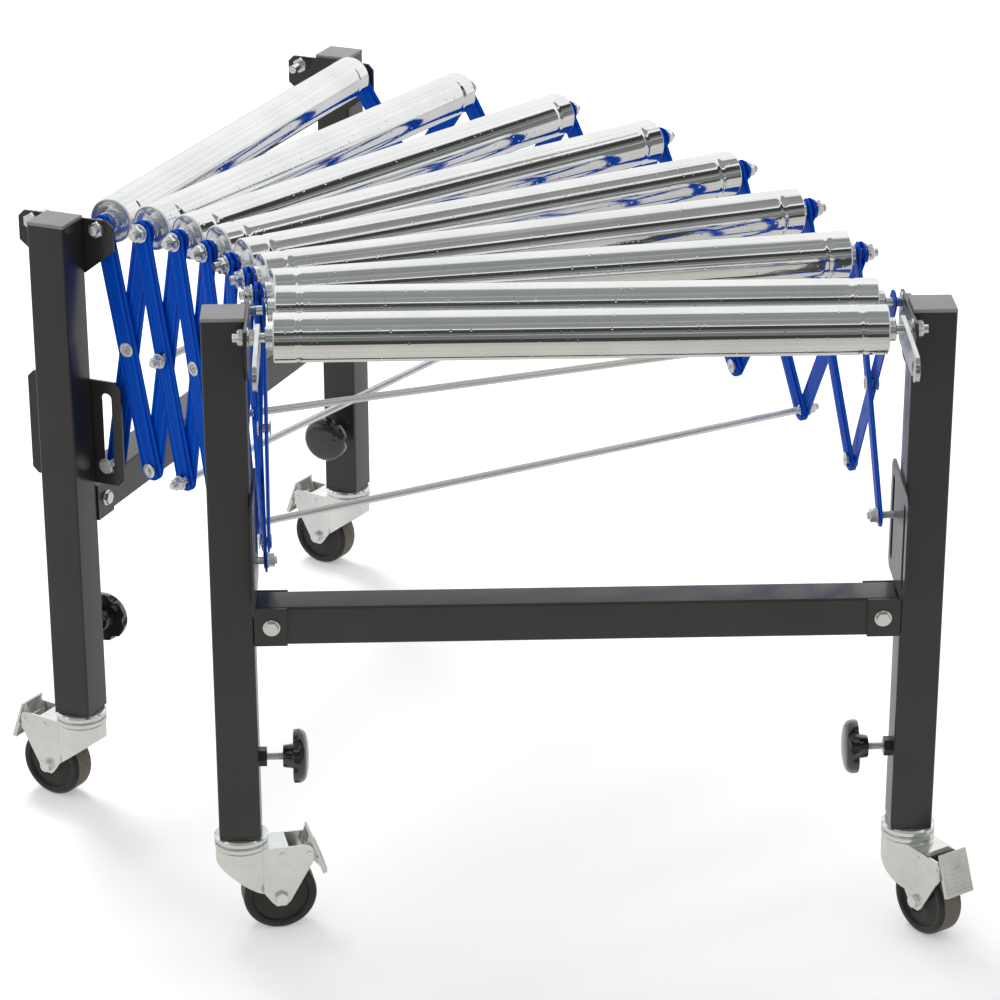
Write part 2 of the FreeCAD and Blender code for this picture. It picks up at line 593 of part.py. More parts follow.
def brake_pedal():
    """Ribbed foot pedal along X, with two ears down to the hinge pin on the fork."""
    body = new_body("BrakePedal")
    half = "pedal_width / 2"
    plate = new_sketch(body, "XY_Plane")
    polygon(plate, [("0", f"-{half}"), ("pedal_length", f"-{half}"), ("pedal_length", half), ("0", half)])
    pad(body, plate, "pedal_sheet")
    rim = new_sketch(body, "XY_Plane")
    start = "(pedal_hinge_along + 2 * pedal_pin)"
    wide = f"({half} - pedal_rim)"
    low = "(pedal_length - pedal_rim)"
    polygon(rim, [(start, f"-{half}"), ("pedal_length", f"-{half}"), ("pedal_length", half), (start, half),
                  (start, wide), (low, wide), (low, f"-{wide}"), (start, f"-{wide}")])
    pad(body, rim, "pedal_rim_depth", reverse=True)
    for side in ("-", ""):
        ear = new_sketch(body, "XZ_Plane", f"{side}({CHEEK_IN} - pedal_ear_gap - pedal_ear / 2)")
        polygon(ear, [
            ("0", "pedal_sheet"), ("0", "0"),
            ("pedal_hinge_along - pedal_pin", f"-{EAR_DROP} + pedal_pin / 2"),
            ("pedal_hinge_along - pedal_pin / 2", f"-{EAR_DROP}"),
            ("pedal_hinge_along + pedal_pin / 2", f"-{EAR_DROP}"),
            ("pedal_hinge_along + pedal_pin", f"-{EAR_DROP} + pedal_pin / 2"),
            ("pedal_length - pedal_ear", "0"), ("pedal_length - pedal_ear", "pedal_sheet")])
        pad(body, ear, "pedal_ear", middle=True)
    pin_hole = new_sketch(body, "XZ_Plane")
    circle(pin_hole, "pedal_hinge_along", "-pedal_hinge_drop", "pedal_pin + 2 * axle_fit")
    pocket(body, pin_hole, "2 * pedal_width", middle=True)
    dimple = new_sketch(body, "XY_Plane", "pedal_sheet")
    circle(dimple, "pedal_dimple_along", "0", "pedal_dimple")
    pocket(body, dimple, "pedal_sheet / 2")
    rib = new_sketch(body, "XY_Plane", "pedal_sheet")
    polygon(rib, [(f"{low} - pedal_rib", f"-{wide}"), (low, f"-{wide}"), (low, wide),
                  (f"{low} - pedal_rib", wide)])
    ridge = pad(body, rib, "pedal_rib / 2")
    row = body.newObject("PartDesign::LinearPattern", "PedalRibs")
    row.Originals = [ridge]
    row.Direction = (rib, ["H_Axis"])
    row.Reversed = True
    tie(row, Length="pedal_length / 2", Occurrences="pedal_ribs")
    body.Tip = row
    doc.recompute()
    return body


def coupling_hook():
    """Flat link that swings on the front roller's axle, open at its far end to catch a bolt."""
    body = new_body("CouplingHook")
    strip = new_sketch(body, "XY_Plane")
    slot(strip, "0", "0", "hook_length", "0", "hook_width")
    pad(body, strip, "hook_sheet")
    hole = new_sketch(body, "XY_Plane")
    circle(hole, "0", "0", "hook_bore")
    pocket(body, hole, "hook_sheet", reverse=True)
    mouth = new_sketch(body, "XY_Plane")
    slot(mouth, "hook_throat", "0", "hook_throat", "hook_width", "hook_mouth")
    pocket(body, mouth, "hook_sheet", reverse=True)
    return body


tube = roller_tube()
cup = bearing_cup()
bar = scissor_bar()
rivet = eyelet_rivet()
post = welded_post()
cap = post_cap()
rail = cross_rail()
leg = inner_leg()
knob = clamp_knob()
stud = clamp_stud()
fork = caster_fork()
wheel = caster_wheel()
pedal = brake_pedal()
hook = coupling_hook()
axle_nut = nut("AxleNut", "nut_flats", "axle_diameter", "nut_height")
rod_nut = nut("RodNut", "small_nut_flats", "bolt_diameter", "small_nut_height")
axle_washer = washer("AxleWasher", "washer_diameter", "axle_diameter")
rod_washer = washer("RodWasher", "small_washer_diameter", "bolt_diameter")
LINK_AXLE_END = f"({OUTER_BAR} + bar_play)"
link_axle = rod("LinkAxle", "axle_diameter",
                f"2 * ({LINK_AXLE_END} + washer_height + nut_height + thread_end)")
stand_axle = rod("StandAxle", "axle_diameter", f"2 * ({POST_FACE} + nut_height + thread_end)")
RAIL_GRIP = "(rail_size + 2 * clip_fit + 2 * clip_sheet)"
rail_bolt = bolt("RailBolt", "small_nut_flats", "bolt_head_height", "bolt_diameter",
                 f"{RAIL_GRIP} + small_nut_height + thread_end", "flange_diameter")
coupling_bolt = bolt("CouplingBolt", "nut_flats", "axle_bolt_head", "axle_diameter",
                     "plate_sheet + coupling_reach")
wheel_bolt = bolt("WheelBolt", "small_nut_flats", "bolt_head_height", "caster_bolt",
                  f"2 * ({CHEEK_IN} + cheek_sheet) + small_nut_height")
PIN_LENGTH = f"2 * ({CHEEK_IN} + cheek_sheet + pin_proud)"
pedal_pin = rod("PedalPin", "pedal_pin", PIN_LENGTH)
cheek_pin = rod("CheekPin", "cheek_pin", PIN_LENGTH)
REACH_OUTER = f"({POST_FACE} - {OUTER_BACK})"
REACH_INNER = f"({POST_FACE} - {INNER_BACK})"
SLOT_NUT = "(washer_height + small_nut_height + thread_end / 2)"
slot_bolts = {}
for reach_name, reach in (("Outer", REACH_OUTER), ("Inner", f"{REACH_INNER} + {BAR_DEPTH}")):
    for gap in ("slot_bolt_near", "slot_bolt_far"):
        title = f"SlotBolt{reach_name}{gap[-4:].title().strip('_')}"
        slot_bolts[reach_name, gap] = bolt(title, "small_nut_flats", "bolt_head_height", "bolt_diameter",
                                           f"{reach} + {gap} + {SLOT_NUT}")

# The left bars' feet drift outwards along the rods as the bend straightens, their middles half as far
BEND = f"(inner_pitch / (2 * sin(pitch_angle / 2 * 1 deg)) + {ROLLER_END})"
FOOT_DRIFT = f"(2 * ({BEND} - {OUTER_BACK}) * sin(pitch_angle / 2 * 1 deg)^2)"
DRIFTS = {"foot": FOOT_DRIFT, "middle": f"({FOOT_DRIFT} / 2)"}
ROD_STOP = f"({OUTER_BAR} + rod_play)"
ROD_END = f"({ROD_STOP} + washer_height + small_nut_height + thread_end)"
tie_rods = {}
for where, drift in DRIFTS.items():
    tie_rods[where] = rod(f"{where.title()}TieRod", "tie_rod_diameter", f"2 * {ROD_END} + {drift}")

# The fan of axles: carrier 0 is the front stand's lattice axle, carrier 7 the rear stand's
LAST = 7
STEP = math.radians(size("pitch_angle"))
BEND_RADIUS = size(BEND)
OFFSET = size("axle_offset")
AXLE_Z = size("axle_height")
SPAN = size("bar_span")
CENTRE = V(-BEND_RADIUS, OFFSET, 0)
UP = V(0, 0, 1)


def turned(degrees, axis=UP):
    return FreeCAD.Placement(V(0, 0, 0), FreeCAD.Rotation(axis, degrees))


def shifted(x=0.0, y=0.0, z=0.0):
    return FreeCAD.Placement(V(x, y, z), FreeCAD.Rotation())


def carrier(k):
    """Frame of an axle on the floor below its middle: X along the axle, Y up the conveyor."""
    angle = k * STEP
    along = V(math.cos(angle), math.sin(angle), 0)
    return FreeCAD.Placement(CENTRE + along * BEND_RADIUS, FreeCAD.Rotation(UP, math.degrees(angle)))


def axle_point(k, offset):
    """A point of axle k, at an offset from its middle."""
    return carrier(k).multVec(V(offset, 0, AXLE_Z))


def bar_place(top, foot, offset, facing):
    """Frame of a bar that hangs from axle top to the pivot below axle foot."""
    head = axle_point(top, offset)
    below = axle_point(foot, offset)
    chord = below - head
    tail = below - UP * math.sqrt(SPAN ** 2 - chord.Length ** 2)
    x_axis = (tail - head).normalize()
    normal = UP.cross(chord).normalize()
    middle = carrier((top + foot) / 2).Rotation.multVec(V(1, 0, 0))
    if normal.dot(middle) * facing < 0:
        normal = -normal
    y_axis = normal.cross(x_axis)
    matrix = FreeCAD.Matrix(x_axis.x, y_axis.x, normal.x, head.x, x_axis.y, y_axis.y, normal.y, head.y,
                            x_axis.z, y_axis.z, normal.z, head.z, 0, 0, 0, 1)
    return FreeCAD.Placement(matrix)


def bar_a(k, side):
    """Bar from axle k down to the pivot below axle k - 1: outer on the left, inner on the right."""
    offset = -size(OUTER_BACK) if side == "left" else size(INNER_BACK)
    return bar_place(k, k - 1, offset, -1)


def bar_b(k, side):
    """Bar from axle k - 1 down to the pivot below axle k: inner on the left, outer on the right."""
    offset = -size(INNER_BACK) if side == "left" else size(OUTER_BACK)
    return bar_place(k - 1, k, offset, 1)


nodes = {}


def node(label, pieces):
    """One named sub-part: copies of the modelled pieces, each at its own place."""
    links = []
    for piece, place in pieces:
        link = doc.addObject("App::Link", f"{label}_{piece.Name}")
        link.setLink(piece)
        link.LinkPlacement = place
        links.append(link)
    group = doc.addObject("Part::Compound", label)
    group.Links = links
    group.Label = label
    nodes[label] = group
    return group


MIDDLE = shifted(SPAN / 2)
FOOT = shifted(SPAN)
FLIP = turned(180, V(1, 0, 0))
ROD_MIDDLES = (LAST - 5, LAST - 1)
ROD_FEET = (LAST - 5, LAST - 2)
WASHER = size("washer_height")
NUT = size("nut_height")
SMALL_NUT = size("small_nut_height")
DEPTH = size(BAR_DEPTH)


def slot_bolt(place, reach_name, gap):
    """Bolt, washer and nut at a bar's foot, through the slot plate beside it."""
    if reach_name == "Outer":
        seat = place * FOOT * shifted(z=size(f"{REACH_OUTER} + {gap}"))
        inside = place * FOOT * FLIP
    else:
        seat = place * FOOT * FLIP * shifted(z=size(f"{REACH_INNER} + {gap}"))
        inside = place * FOOT * shifted(z=DEPTH)
    return [(slot_bolts[reach_name, gap], seat), (rod_washer, inside),
            (rod_nut, inside * shifted(z=WASHER))]


def bars_with_pins(k, side, kind):
    """One scissor bar with the rivets that it carries."""
    place = bar_a(k, side) if kind == "a" else bar_b(k, side)
    pieces = [(bar, place)]
    if kind == "a" and k not in ROD_MIDDLES:
        pieces.append((rivet, place * MIDDLE))
    if kind == "b" and k < LAST and k not in ROD_FEET:
        pieces.append((rivet, place * FOOT))
    gap = "slot_bolt_near" if side == "left" else "slot_bolt_far"
    if kind == "a" and k == 1:
        pieces += slot_bolt(place, "Outer" if side == "left" else "Inner", gap)
    if kind == "b" and k == LAST:
        pieces += slot_bolt(place, "Inner" if side == "left" else "Outer", gap)
    return pieces


def roller_pieces(place):
    half = size(ROLLER_END)
    high = place * shifted(z=AXLE_Z)
    return [(tube, high), (cup, high * shifted(half)), (cup, high * turned(180) * shifted(half))]


def both_ends(place, piece, left, right):
    """A nut or washer on both ends of a bar along X, at its own offset from the middle."""
    outward = turned(90, V(0, 1, 0))
    return [(piece, place * shifted(right) * outward), (piece, place * turned(180) * shifted(left) * outward)]


def axle_end(place, piece, offset):
    """A nut or washer on both ends of an axle."""
    return both_ends(place * shifted(z=AXLE_Z), piece, offset, offset)


# Rollers and the scissor bars on each axle
for k in range(LAST + 1):
    roller = 8 - k
    node(f"roller_{roller}", roller_pieces(carrier(k)))
    closing = []
    opening = []
    if k > 0:
        closing += bars_with_pins(k, "left", "a")
        opening += bars_with_pins(k, "right", "a")
    if k < LAST:
        closing += bars_with_pins(k + 1, "right", "b")
        opening += bars_with_pins(k + 1, "left", "b")
    node(f"scissor_bars_{roller}a", closing)
    node(f"scissor_bars_{roller}b", opening)
    if 0 < k < LAST:
        stop = size(LINK_AXLE_END)
        pieces = [(link_axle, carrier(k) * shifted(z=AXLE_Z))]
        pieces += axle_end(carrier(k), axle_washer, stop)
        pieces += axle_end(carrier(k), axle_nut, stop + WASHER)
        node(f"axle_{roller}", pieces)
FRONT = FreeCAD.Placement()
REAR = carrier(LAST) * shifted(y=OFFSET)
NINTH = shifted(y=-OFFSET)
node("roller_9", roller_pieces(NINTH))


def pivot(k, where):
    """Middle of a pivot between two bars on the left and on the right lattice."""
    ends = []
    for side in ("left", "right"):
        if where == "middle":
            places = [bar_a(k, side) * MIDDLE, bar_b(k, side) * MIDDLE]
        else:
            places = [bar_b(k, side) * FOOT, bar_a(k + 1, side) * FOOT]
        ends.append((places[0].Base + places[1].Base) * 0.5)
    return ends


def rod_place(k, where):
    """Frame of a tie rod; a middle one hangs halfway to its place in a straight bed."""
    left, right = pivot(k, where)
    if where == "middle":
        left = left - UP * size("middle_rod_drop")
        right = right - UP * size("middle_rod_drop")
    x_axis = (right - left).normalize()
    y_axis = UP.cross(x_axis).normalize()
    turn = FreeCAD.Rotation(x_axis, y_axis, x_axis.cross(y_axis), "XYZ")
    return FreeCAD.Placement((left + right) * 0.5, turn)


# Tie rods between the two lattices
for where, list_of_rods in (("middle", ROD_MIDDLES), ("foot", ROD_FEET)):
    for k in list_of_rods:
        place = rod_place(k, where)
        right = size(ROD_STOP)
        left = right + size(DRIFTS[where])
        pieces = [(tie_rods[where], place * shifted((right - left) / 2))]
        pieces += both_ends(place, rod_washer, left, right)
        pieces += both_ends(place, rod_nut, left + WASHER, right + WASHER)
        node(f"tie_rod_{where}_{k}", pieces)

POST_X = size(f"{POST_FACE} + post_width / 2")
SWIVELS = {"front_left": 10.6, "front_right": -58, "rear_left": 146, "rear_right": 145}


def post_place(stand, side):
    return stand * (shifted(-POST_X) if side == "left" else shifted(POST_X) * turned(180))


def stand_frame(label, stand):
    """Posts with their caps, and the cross rail between them."""
    pieces = [(rail, stand * shifted(z=size("rail_height")))]
    for side in ("left", "right"):
        pieces.append((post, post_place(stand, side)))
        pieces.append((cap, post_place(stand, side)))
    node(label, pieces)


def rail_bolts(stand):
    pieces = []
    inset = size(f"{POST_FACE} - clip_sheet - clip_fit - rail_bolt_inset")
    face = size(f"{RAIL_GRIP} / 2")
    for x in (-inset, inset):
        head = stand * shifted(x, -face, size("rail_height")) * turned(90, V(1, 0, 0))
        tail = stand * shifted(x, face, size("rail_height")) * turned(-90, V(1, 0, 0))
        pieces += [(rail_bolt, head), (rod_nut, tail)]
    return pieces


def stand_axle_pieces(place, inner_nuts=False):
    """Fixed axle of a roller at a stand, held by a nut outside each plate or by a nut on each side."""
    pieces = [(stand_axle, place * shifted(z=AXLE_Z))]
    pieces += axle_end(place, axle_nut, size(POST_FACE))
    pieces += axle_end(place, axle_washer, size(PLATE_FACE) - WASHER)
    if inner_nuts:
        pieces += axle_end(place, axle_nut, size(f"{PLATE_FACE} - nut_height") - WASHER)
    return pieces


def coupling_bolts(stand):
    """Bolts on the rear stand's free plate wings, which the next conveyor's hooks catch."""
    pieces = []
    face = size(POST_FACE)
    for turn in (0, 180):
        side = stand * shifted(y=OFFSET, z=AXLE_Z) * turned(turn)
        outside = side * shifted(face) * turned(90, V(0, 1, 0))
        inside = side * shifted(size(PLATE_FACE)) * turned(-90, V(0, 1, 0))
        pieces += [(coupling_bolt, outside), (axle_nut, inside)]
    return pieces


def leg_nodes(name, place, swivel):
    """One telescopic leg with its clamp knob and caster."""
    node(f"leg_{name}", [(leg, place)])
    height = shifted(z=size("knob_height"))
    node(f"clamp_knob_{name}", [(knob, place * height), (stud, place * height)])
    upright = FreeCAD.Placement(place.Base, FreeCAD.Rotation())
    caster = upright * turned(swivel)
    hub = caster * shifted(size("caster_trail"), 0, size("wheel_diameter") / 2)
    face = size(f"{CHEEK_IN} + cheek_sheet")
    hinge = caster * shifted(size("pedal_hinge_x"), 0, size("pedal_hinge_z"))
    brace = caster * shifted(size("cheek_pin_along"), 0, size(CHEEK_PIN_Z))
    node(f"caster_fork_{name}", [
        (fork, caster), (wheel_bolt, hub * shifted(y=-face) * turned(90, V(1, 0, 0))),
        (rod_nut, hub * shifted(y=face) * turned(-90, V(1, 0, 0))), (pedal_pin, hinge * turned(90)),
        (cheek_pin, brace * turned(90))])
    node(f"wheel_{name}", [(wheel, hub * turned(90))])
    slope = turned(size("pedal_slope"), V(0, 1, 0))
    back = shifted(-size("pedal_hinge_along"), 0, size("pedal_hinge_drop"))
    node(f"brake_pedal_{name}", [(pedal, hinge * slope * back)])


# Stands, legs, knobs and casters
stand_frame("front_frame", FRONT)
stand_frame("rear_frame", REAR)
front_axles = stand_axle_pieces(shifted(y=OFFSET)) + stand_axle_pieces(NINTH, inner_nuts=True)
node("front_hardware", rail_bolts(FRONT) + front_axles)
node("rear_hardware", rail_bolts(REAR) + stand_axle_pieces(carrier(LAST)) + coupling_bolts(REAR))
for end, stand in (("front", FRONT), ("rear", REAR)):
    for side in ("left", "right"):
        leg_nodes(f"{end}_{side}", post_place(stand, side), SWIVELS[f"{end}_{side}"])

# Coupling hooks on the front roller's axle, reaching forward almost level with their mouths down
HOOK_ROOM = size(f"{BOSS_END} + hook_inset")
lean = math.radians(size("hook_lean"))
down = V(0, -math.sin(lean), -math.cos(lean))
swing = FreeCAD.Rotation(down, V(1, 0, 0).cross(down), V(1, 0, 0), "XYZ")
hooks = []
for x in (-HOOK_ROOM - size("hook_sheet"), HOOK_ROOM):
    hooks.append((hook, FreeCAD.Placement(V(x, -OFFSET, AXLE_Z), swing)))
node("coupling_hooks", hooks)
doc.recompute()

# The origin lies on the floor below the middle of the whole object
whole = FreeCAD.BoundBox()
for group in nodes.values():
    whole.add(group.Shape.BoundBox)
SHIFT = V(-whole.Center.x, -whole.Center.y, -whole.ZMin)
for group in nodes.values():
    group.Placement = FreeCAD.Placement(SHIFT, FreeCAD.Rotation())
doc.recompute()

for thing in doc.Objects:
    if "Invalid" in thing.State or "Error" in thing.State:
        raise RuntimeError(f"{thing.Name} failed: {thing.State}")
for label, group in nodes.items():
    if group.Shape.isNull() or not group.Shape.isValid():
        raise RuntimeError(f"{label} has no valid shape")
os.makedirs("parts", exist_ok=True)
for label, group in nodes.items():
    group.Shape.exportStep(f"parts/{label}.step")
print(len(nodes), "sub-parts, box", whole)
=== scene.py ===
import json
from functools import partial
from math import cos, pi, radians, sin, sqrt

import bmesh
import bpy
from mathutils import Matrix, Vector


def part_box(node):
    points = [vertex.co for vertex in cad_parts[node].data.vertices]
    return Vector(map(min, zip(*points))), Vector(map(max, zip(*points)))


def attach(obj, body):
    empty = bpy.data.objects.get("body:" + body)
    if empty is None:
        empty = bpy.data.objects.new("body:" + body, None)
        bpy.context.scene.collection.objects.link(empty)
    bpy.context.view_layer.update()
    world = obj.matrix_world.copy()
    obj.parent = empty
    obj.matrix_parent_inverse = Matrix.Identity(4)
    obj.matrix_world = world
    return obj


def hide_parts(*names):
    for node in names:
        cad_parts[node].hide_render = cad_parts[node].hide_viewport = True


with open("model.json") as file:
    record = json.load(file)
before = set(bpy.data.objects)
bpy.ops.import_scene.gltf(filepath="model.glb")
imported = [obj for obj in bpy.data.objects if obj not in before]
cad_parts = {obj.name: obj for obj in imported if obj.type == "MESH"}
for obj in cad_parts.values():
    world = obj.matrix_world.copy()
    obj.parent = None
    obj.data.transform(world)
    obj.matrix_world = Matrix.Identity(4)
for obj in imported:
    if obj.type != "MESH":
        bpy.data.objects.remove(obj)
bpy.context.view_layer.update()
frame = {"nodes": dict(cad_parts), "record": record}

# Studio: a pale floor and a white sweep behind, a grey ceiling and a dark room before the object that
# bright metal mirrors. The camera stands before the front posts, a little to their left.
front_low, front_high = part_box("front_frame")
stand_centre = (front_low + front_high) / 2
camera_from_stand = Vector((-0.18364, -3.27552, 1.88099))
camera_yaw = radians(1.823)
camera_pitch = radians(22.976)
camera_roll = radians(0.15)
camera_lens = 125.56
floor_reach = 30.0
floor_shade = 0.86
floor_rough = 0.95
floor_lift = 0.30
floor_depth = (-3.0, 1.0)
# Floor tones seen only in reflections, from the camera end to behind the object: a painted reflection, dark towards
# the camera and light beige near the object.
floor_tones = [(0.0, 0.05), (0.06, 0.06), (0.15, (0.52, 0.50, 0.46)), (0.62, (0.64, 0.62, 0.585)), (1.0, 0.68)]
room_tones = [(-90, 1.0), (-24, 1.0), (-20, (0.36, 0.39, 0.38)), (-5, (0.29, 0.31, 0.30)), (-3, (0.20, 0.21, 0.20)),
              (0, (0.30, 0.32, 0.31)), (18, (0.27, 0.29, 0.28)), (20, 0.48), (23, (0.27, 0.28, 0.27)),
              (41, (0.33, 0.34, 0.32)), (42, 1.0), (46.5, 1.0), (48, 0.05), (61, 0.05), (64, (0.20, 0.215, 0.205)),
              (70, (0.16, 0.17, 0.16)), (72, 0.60), (74.5, (0.17, 0.18, 0.17)), (90, (0.20, 0.21, 0.205))]
sweep_edge = 0.30
side_glow = (0.70, 0.90)
glow_tone = (0.92, 0.94, 0.95, 1)
white = (1, 1, 1, 1)
sky_light = 0.72
key_light = 120.0
key_place = Vector((-1.2, 2.4, 4.0))
key_aim = Vector((0, 0, 0.4))
key_size = 1.6
sensor_width = 36


def put(name, data):
    """A new object in the scene."""
    item = bpy.data.objects.new(name, data)
    bpy.context.collection.objects.link(item)
    return item


def axes_at(spot, *axes):
    """Frame at a spot with the three axes given."""
    return Matrix.Translation(spot) @ Matrix(axes).transposed().to_4x4()


forward = Vector((sin(camera_yaw) * cos(camera_pitch), cos(camera_yaw) * cos(camera_pitch), -sin(camera_pitch)))
level = Vector((cos(camera_yaw), -sin(camera_yaw), 0))
down = forward.cross(level)
across = level * cos(camera_roll) + down * sin(camera_roll)
upward = level * sin(camera_roll) - down * cos(camera_roll)
camera = put("camera", bpy.data.cameras.new("camera"))
camera.data.sensor_width = sensor_width
camera.data.lens = camera_lens
camera_place = Vector((stand_centre.x, stand_centre.y, 0)) + camera_from_stand
camera.matrix_world = axes_at(camera_place, across, upward, -forward)
bpy.context.scene.camera = camera
bpy.context.scene.view_settings.view_transform = "Standard"

floor_mesh = bpy.data.meshes.new("floor")
floor_corners = [(floor_reach * x, floor_reach * y, 0) for x, y in ((-1, -1), (1, -1), (1, 1), (-1, 1))]
floor_mesh.from_pydata(floor_corners, [], [(0, 1, 2, 3)])
floor = put("floor", floor_mesh)


def wire(tree, start, end):
    """Join two sockets of a node tree."""
    tree.links.new(start, end)


def added(tree, kind, inputs=(), **settings):
    """A new node of a tree with its settings, and with values or sockets as its inputs."""
    node = tree.nodes.new(kind)
    for name, value in settings.items():
        setattr(node, name, value)
    for name, value in dict(inputs).items():
        if isinstance(value, bpy.types.NodeSocket):
            wire(tree, value, node.inputs[name])
        else:
            node.inputs[name].default_value = value
    return node


def joined(tree, operation, *values):
    """The result of a maths operation on numbers or sockets."""
    return added(tree, "ShaderNodeMath", dict(enumerate(values)), operation=operation).outputs["Value"]


def mixed(tree, share, first, second):
    """One shader or the other, by a share from 0 to 1."""
    return added(tree, "ShaderNodeMixShader", {"Fac": share, 1: first, 2: second}).outputs["Shader"]


def toned(tree, share, first, second, data_type="RGBA", **settings):
    """One tone or the other, by a share from 0 to 1."""
    inputs = {"Factor": share, "A": first, "B": second}
    return added(tree, "ShaderNodeMix", inputs, data_type=data_type, **settings).outputs["Result"]


def spread(tree, value, low, high, least=0.0, **settings):
    """A value between a low and a high mark, spread from a least share to 1."""
    inputs = {"Value": value, "From Min": low, "From Max": high, "To Min": least}
    return added(tree, "ShaderNodeMapRange", inputs, **settings).outputs["Result"]


def coordinates(tree, kind="Object"):
    """Texture coordinates of one kind."""
    return added(tree, "ShaderNodeTexCoord").outputs[kind]


def apart(tree, vector):
    """The X, Y and Z of a vector, by name."""
    return added(tree, "ShaderNodeSeparateXYZ", {"Vector": vector}).outputs


def ramp(tree, stops, place, smooth=True):
    """Colour at a place from 0 to 1 on a ramp of grey levels or colours."""
    node = added(tree, "ShaderNodeValToRGB", {"Fac": place})
    node.color_ramp.interpolation = "EASE" if smooth else "LINEAR"
    marks = node.color_ramp.elements
    while len(marks) < len(stops):
        marks.new(1.0)
    for mark, (position, tone) in zip(marks, stops):
        mark.position = position
        mark.color = (*tone, 1) if isinstance(tone, tuple) else (tone, tone, tone, 1)
    return node.outputs["Color"]


floor_paint = bpy.data.materials.new("floor_paint")
floor_paint.use_nodes = True
tree = floor_paint.node_tree
paint = tree.nodes["Principled BSDF"]
paint.inputs["Base Color"].default_value = (floor_shade, floor_shade, floor_shade, 1)
paint.inputs["Roughness"].default_value = floor_rough
paint.inputs["Specular IOR Level"].default_value = 0.0
lift = added(tree, "ShaderNodeEmission", {"Strength": floor_lift}).outputs["Emission"]
lifted = added(tree, "ShaderNodeAddShader", {0: paint.outputs["BSDF"], 1: lift}).outputs["Shader"]
# Seen in reflections the floor glows with these set tones instead of being lit: a painted reflection of a lit floor
# near the object and a dark room towards the camera.
reflected_floor_glow = ramp(tree, floor_tones, spread(tree, apart(tree, coordinates(tree))["Y"], *floor_depth))
mirror_floor = added(tree, "ShaderNodeEmission", {"Color": reflected_floor_glow}).outputs["Emission"]
rays = added(tree, "ShaderNodeLightPath").outputs
shown = mixed(tree, rays["Is Camera Ray"], paint.outputs["BSDF"], lifted)
shown = mixed(tree, rays["Is Glossy Ray"], shown, mirror_floor)
wire(tree, shown, tree.nodes["Material Output"].inputs["Surface"])
floor_mesh.materials.append(floor_paint)

world = bpy.data.worlds.new("studio")
bpy.context.scene.world = world
world.use_nodes = True
tree = world.node_tree
sky = tree.nodes["Background"]
sky.inputs["Color"].default_value = white
sky.inputs["Strength"].default_value = sky_light
backdrop = added(tree, "ShaderNodeBackground", {"Color": white}).outputs["Background"]
sight = apart(tree, coordinates(tree, "Generated"))
depth_squared = joined(tree, "MULTIPLY", sight["Y"], sight["Y"])
level_reach = joined(tree, "SQRT", joined(tree, "MULTIPLY_ADD", sight["X"], sight["X"], depth_squared))
in_front = joined(tree, "MULTIPLY_ADD", joined(tree, "LESS_THAN", sight["Y"], sweep_edge), 2, -1)
overhead = joined(tree, "ARCTAN2", joined(tree, "MULTIPLY", level_reach, in_front), sight["Z"])
wall_stops = [((degrees + 90) / 180, tone) for degrees, tone in room_tones]
walls = ramp(tree, wall_stops, joined(tree, "MULTIPLY_ADD", overhead, 1 / pi, 0.5), smooth=False)
sideways = spread(tree, joined(tree, "MULTIPLY", sight["X"], -1), *side_glow)
room = added(tree, "ShaderNodeBackground", {"Color": toned(tree, sideways, walls, glow_tone)}).outputs["Background"]
rays = added(tree, "ShaderNodeLightPath").outputs
shown = mixed(tree, rays["Is Glossy Ray"], sky.outputs["Background"], room)
seen = joined(tree, "MAXIMUM", rays["Is Camera Ray"], rays["Is Transmission Ray"])
wire(tree, mixed(tree, seen, shown, backdrop), tree.nodes["World Output"].inputs["Surface"])

key = put("key_lamp", bpy.data.lights.new("key_lamp", "AREA"))
key.data.energy = key_light
key.data.size = key_size
key.location = key_place
key.rotation_euler = (key_aim - key_place).to_track_quat("-Z", "Y").to_euler()
key.visible_glossy = False

# Stands: square steel tube posts with welded axle and slot plates and a bolted cross rail, all in
# black powder coat with a fine orange peel. A grey moulded cap closes the top of each post.
coat_tone = (0.0175, 0.017, 0.0162)
cap_tone = (0.235, 0.232, 0.238)
grain_share = 0.35
grain_span = (0.45, 0.9)
relief_depth = 0.001
weld = 1e-6
flat_angle = radians(0.3)
bevel_angle = radians(38)
sheet_edge = 0.0006
cap_depth = 0.0245


def sockets(tree, inputs, outputs):
    """Name the sockets of a node group, and give those inside it for its inputs and its outputs."""
    for in_out, rows in (("INPUT", inputs), ("OUTPUT", outputs)):
        for name, kind in rows:
            tree.interface.new_socket(name, in_out=in_out, socket_type=f"NodeSocket{kind}")
    return added(tree, "NodeGroupInput").outputs, added(tree, "NodeGroupOutput").inputs


def noise(tree, place, scale, detail=2.0):
    """Noise from 0 to 1 at a place."""
    return added(tree, "ShaderNodeTexNoise", {"Vector": place, "Scale": scale, "Detail": detail}).outputs["Fac"]


def surface_group():
    """Shader group: patchy tone, fine grain and bump for a coated or plated surface."""
    group = bpy.data.node_groups.new("surface_grain", "ShaderNodeTree")
    levels = [(name, "Float") for name in ("Patch Size", "Grain Size", "Rough Low", "Rough High")]
    given, made = sockets(group, levels + [("Dark", "Color"), ("Light", "Color")],
                          [("Color", "Color"), ("Roughness", "Float"), ("Height", "Float")])
    place = coordinates(group)
    patch = noise(group, place, given["Patch Size"], detail=4.0)
    grain = noise(group, place, given["Grain Size"])
    share = spread(group, joined(group, "MULTIPLY_ADD", grain, grain_share, patch), *grain_span)
    wire(group, toned(group, share, given["Dark"], given["Light"]), made["Color"])
    wire(group, toned(group, share, given["Rough Low"], given["Rough High"], "FLOAT"), made["Roughness"])
    wire(group, grain, made["Height"])
    return group


grain_group = surface_group()


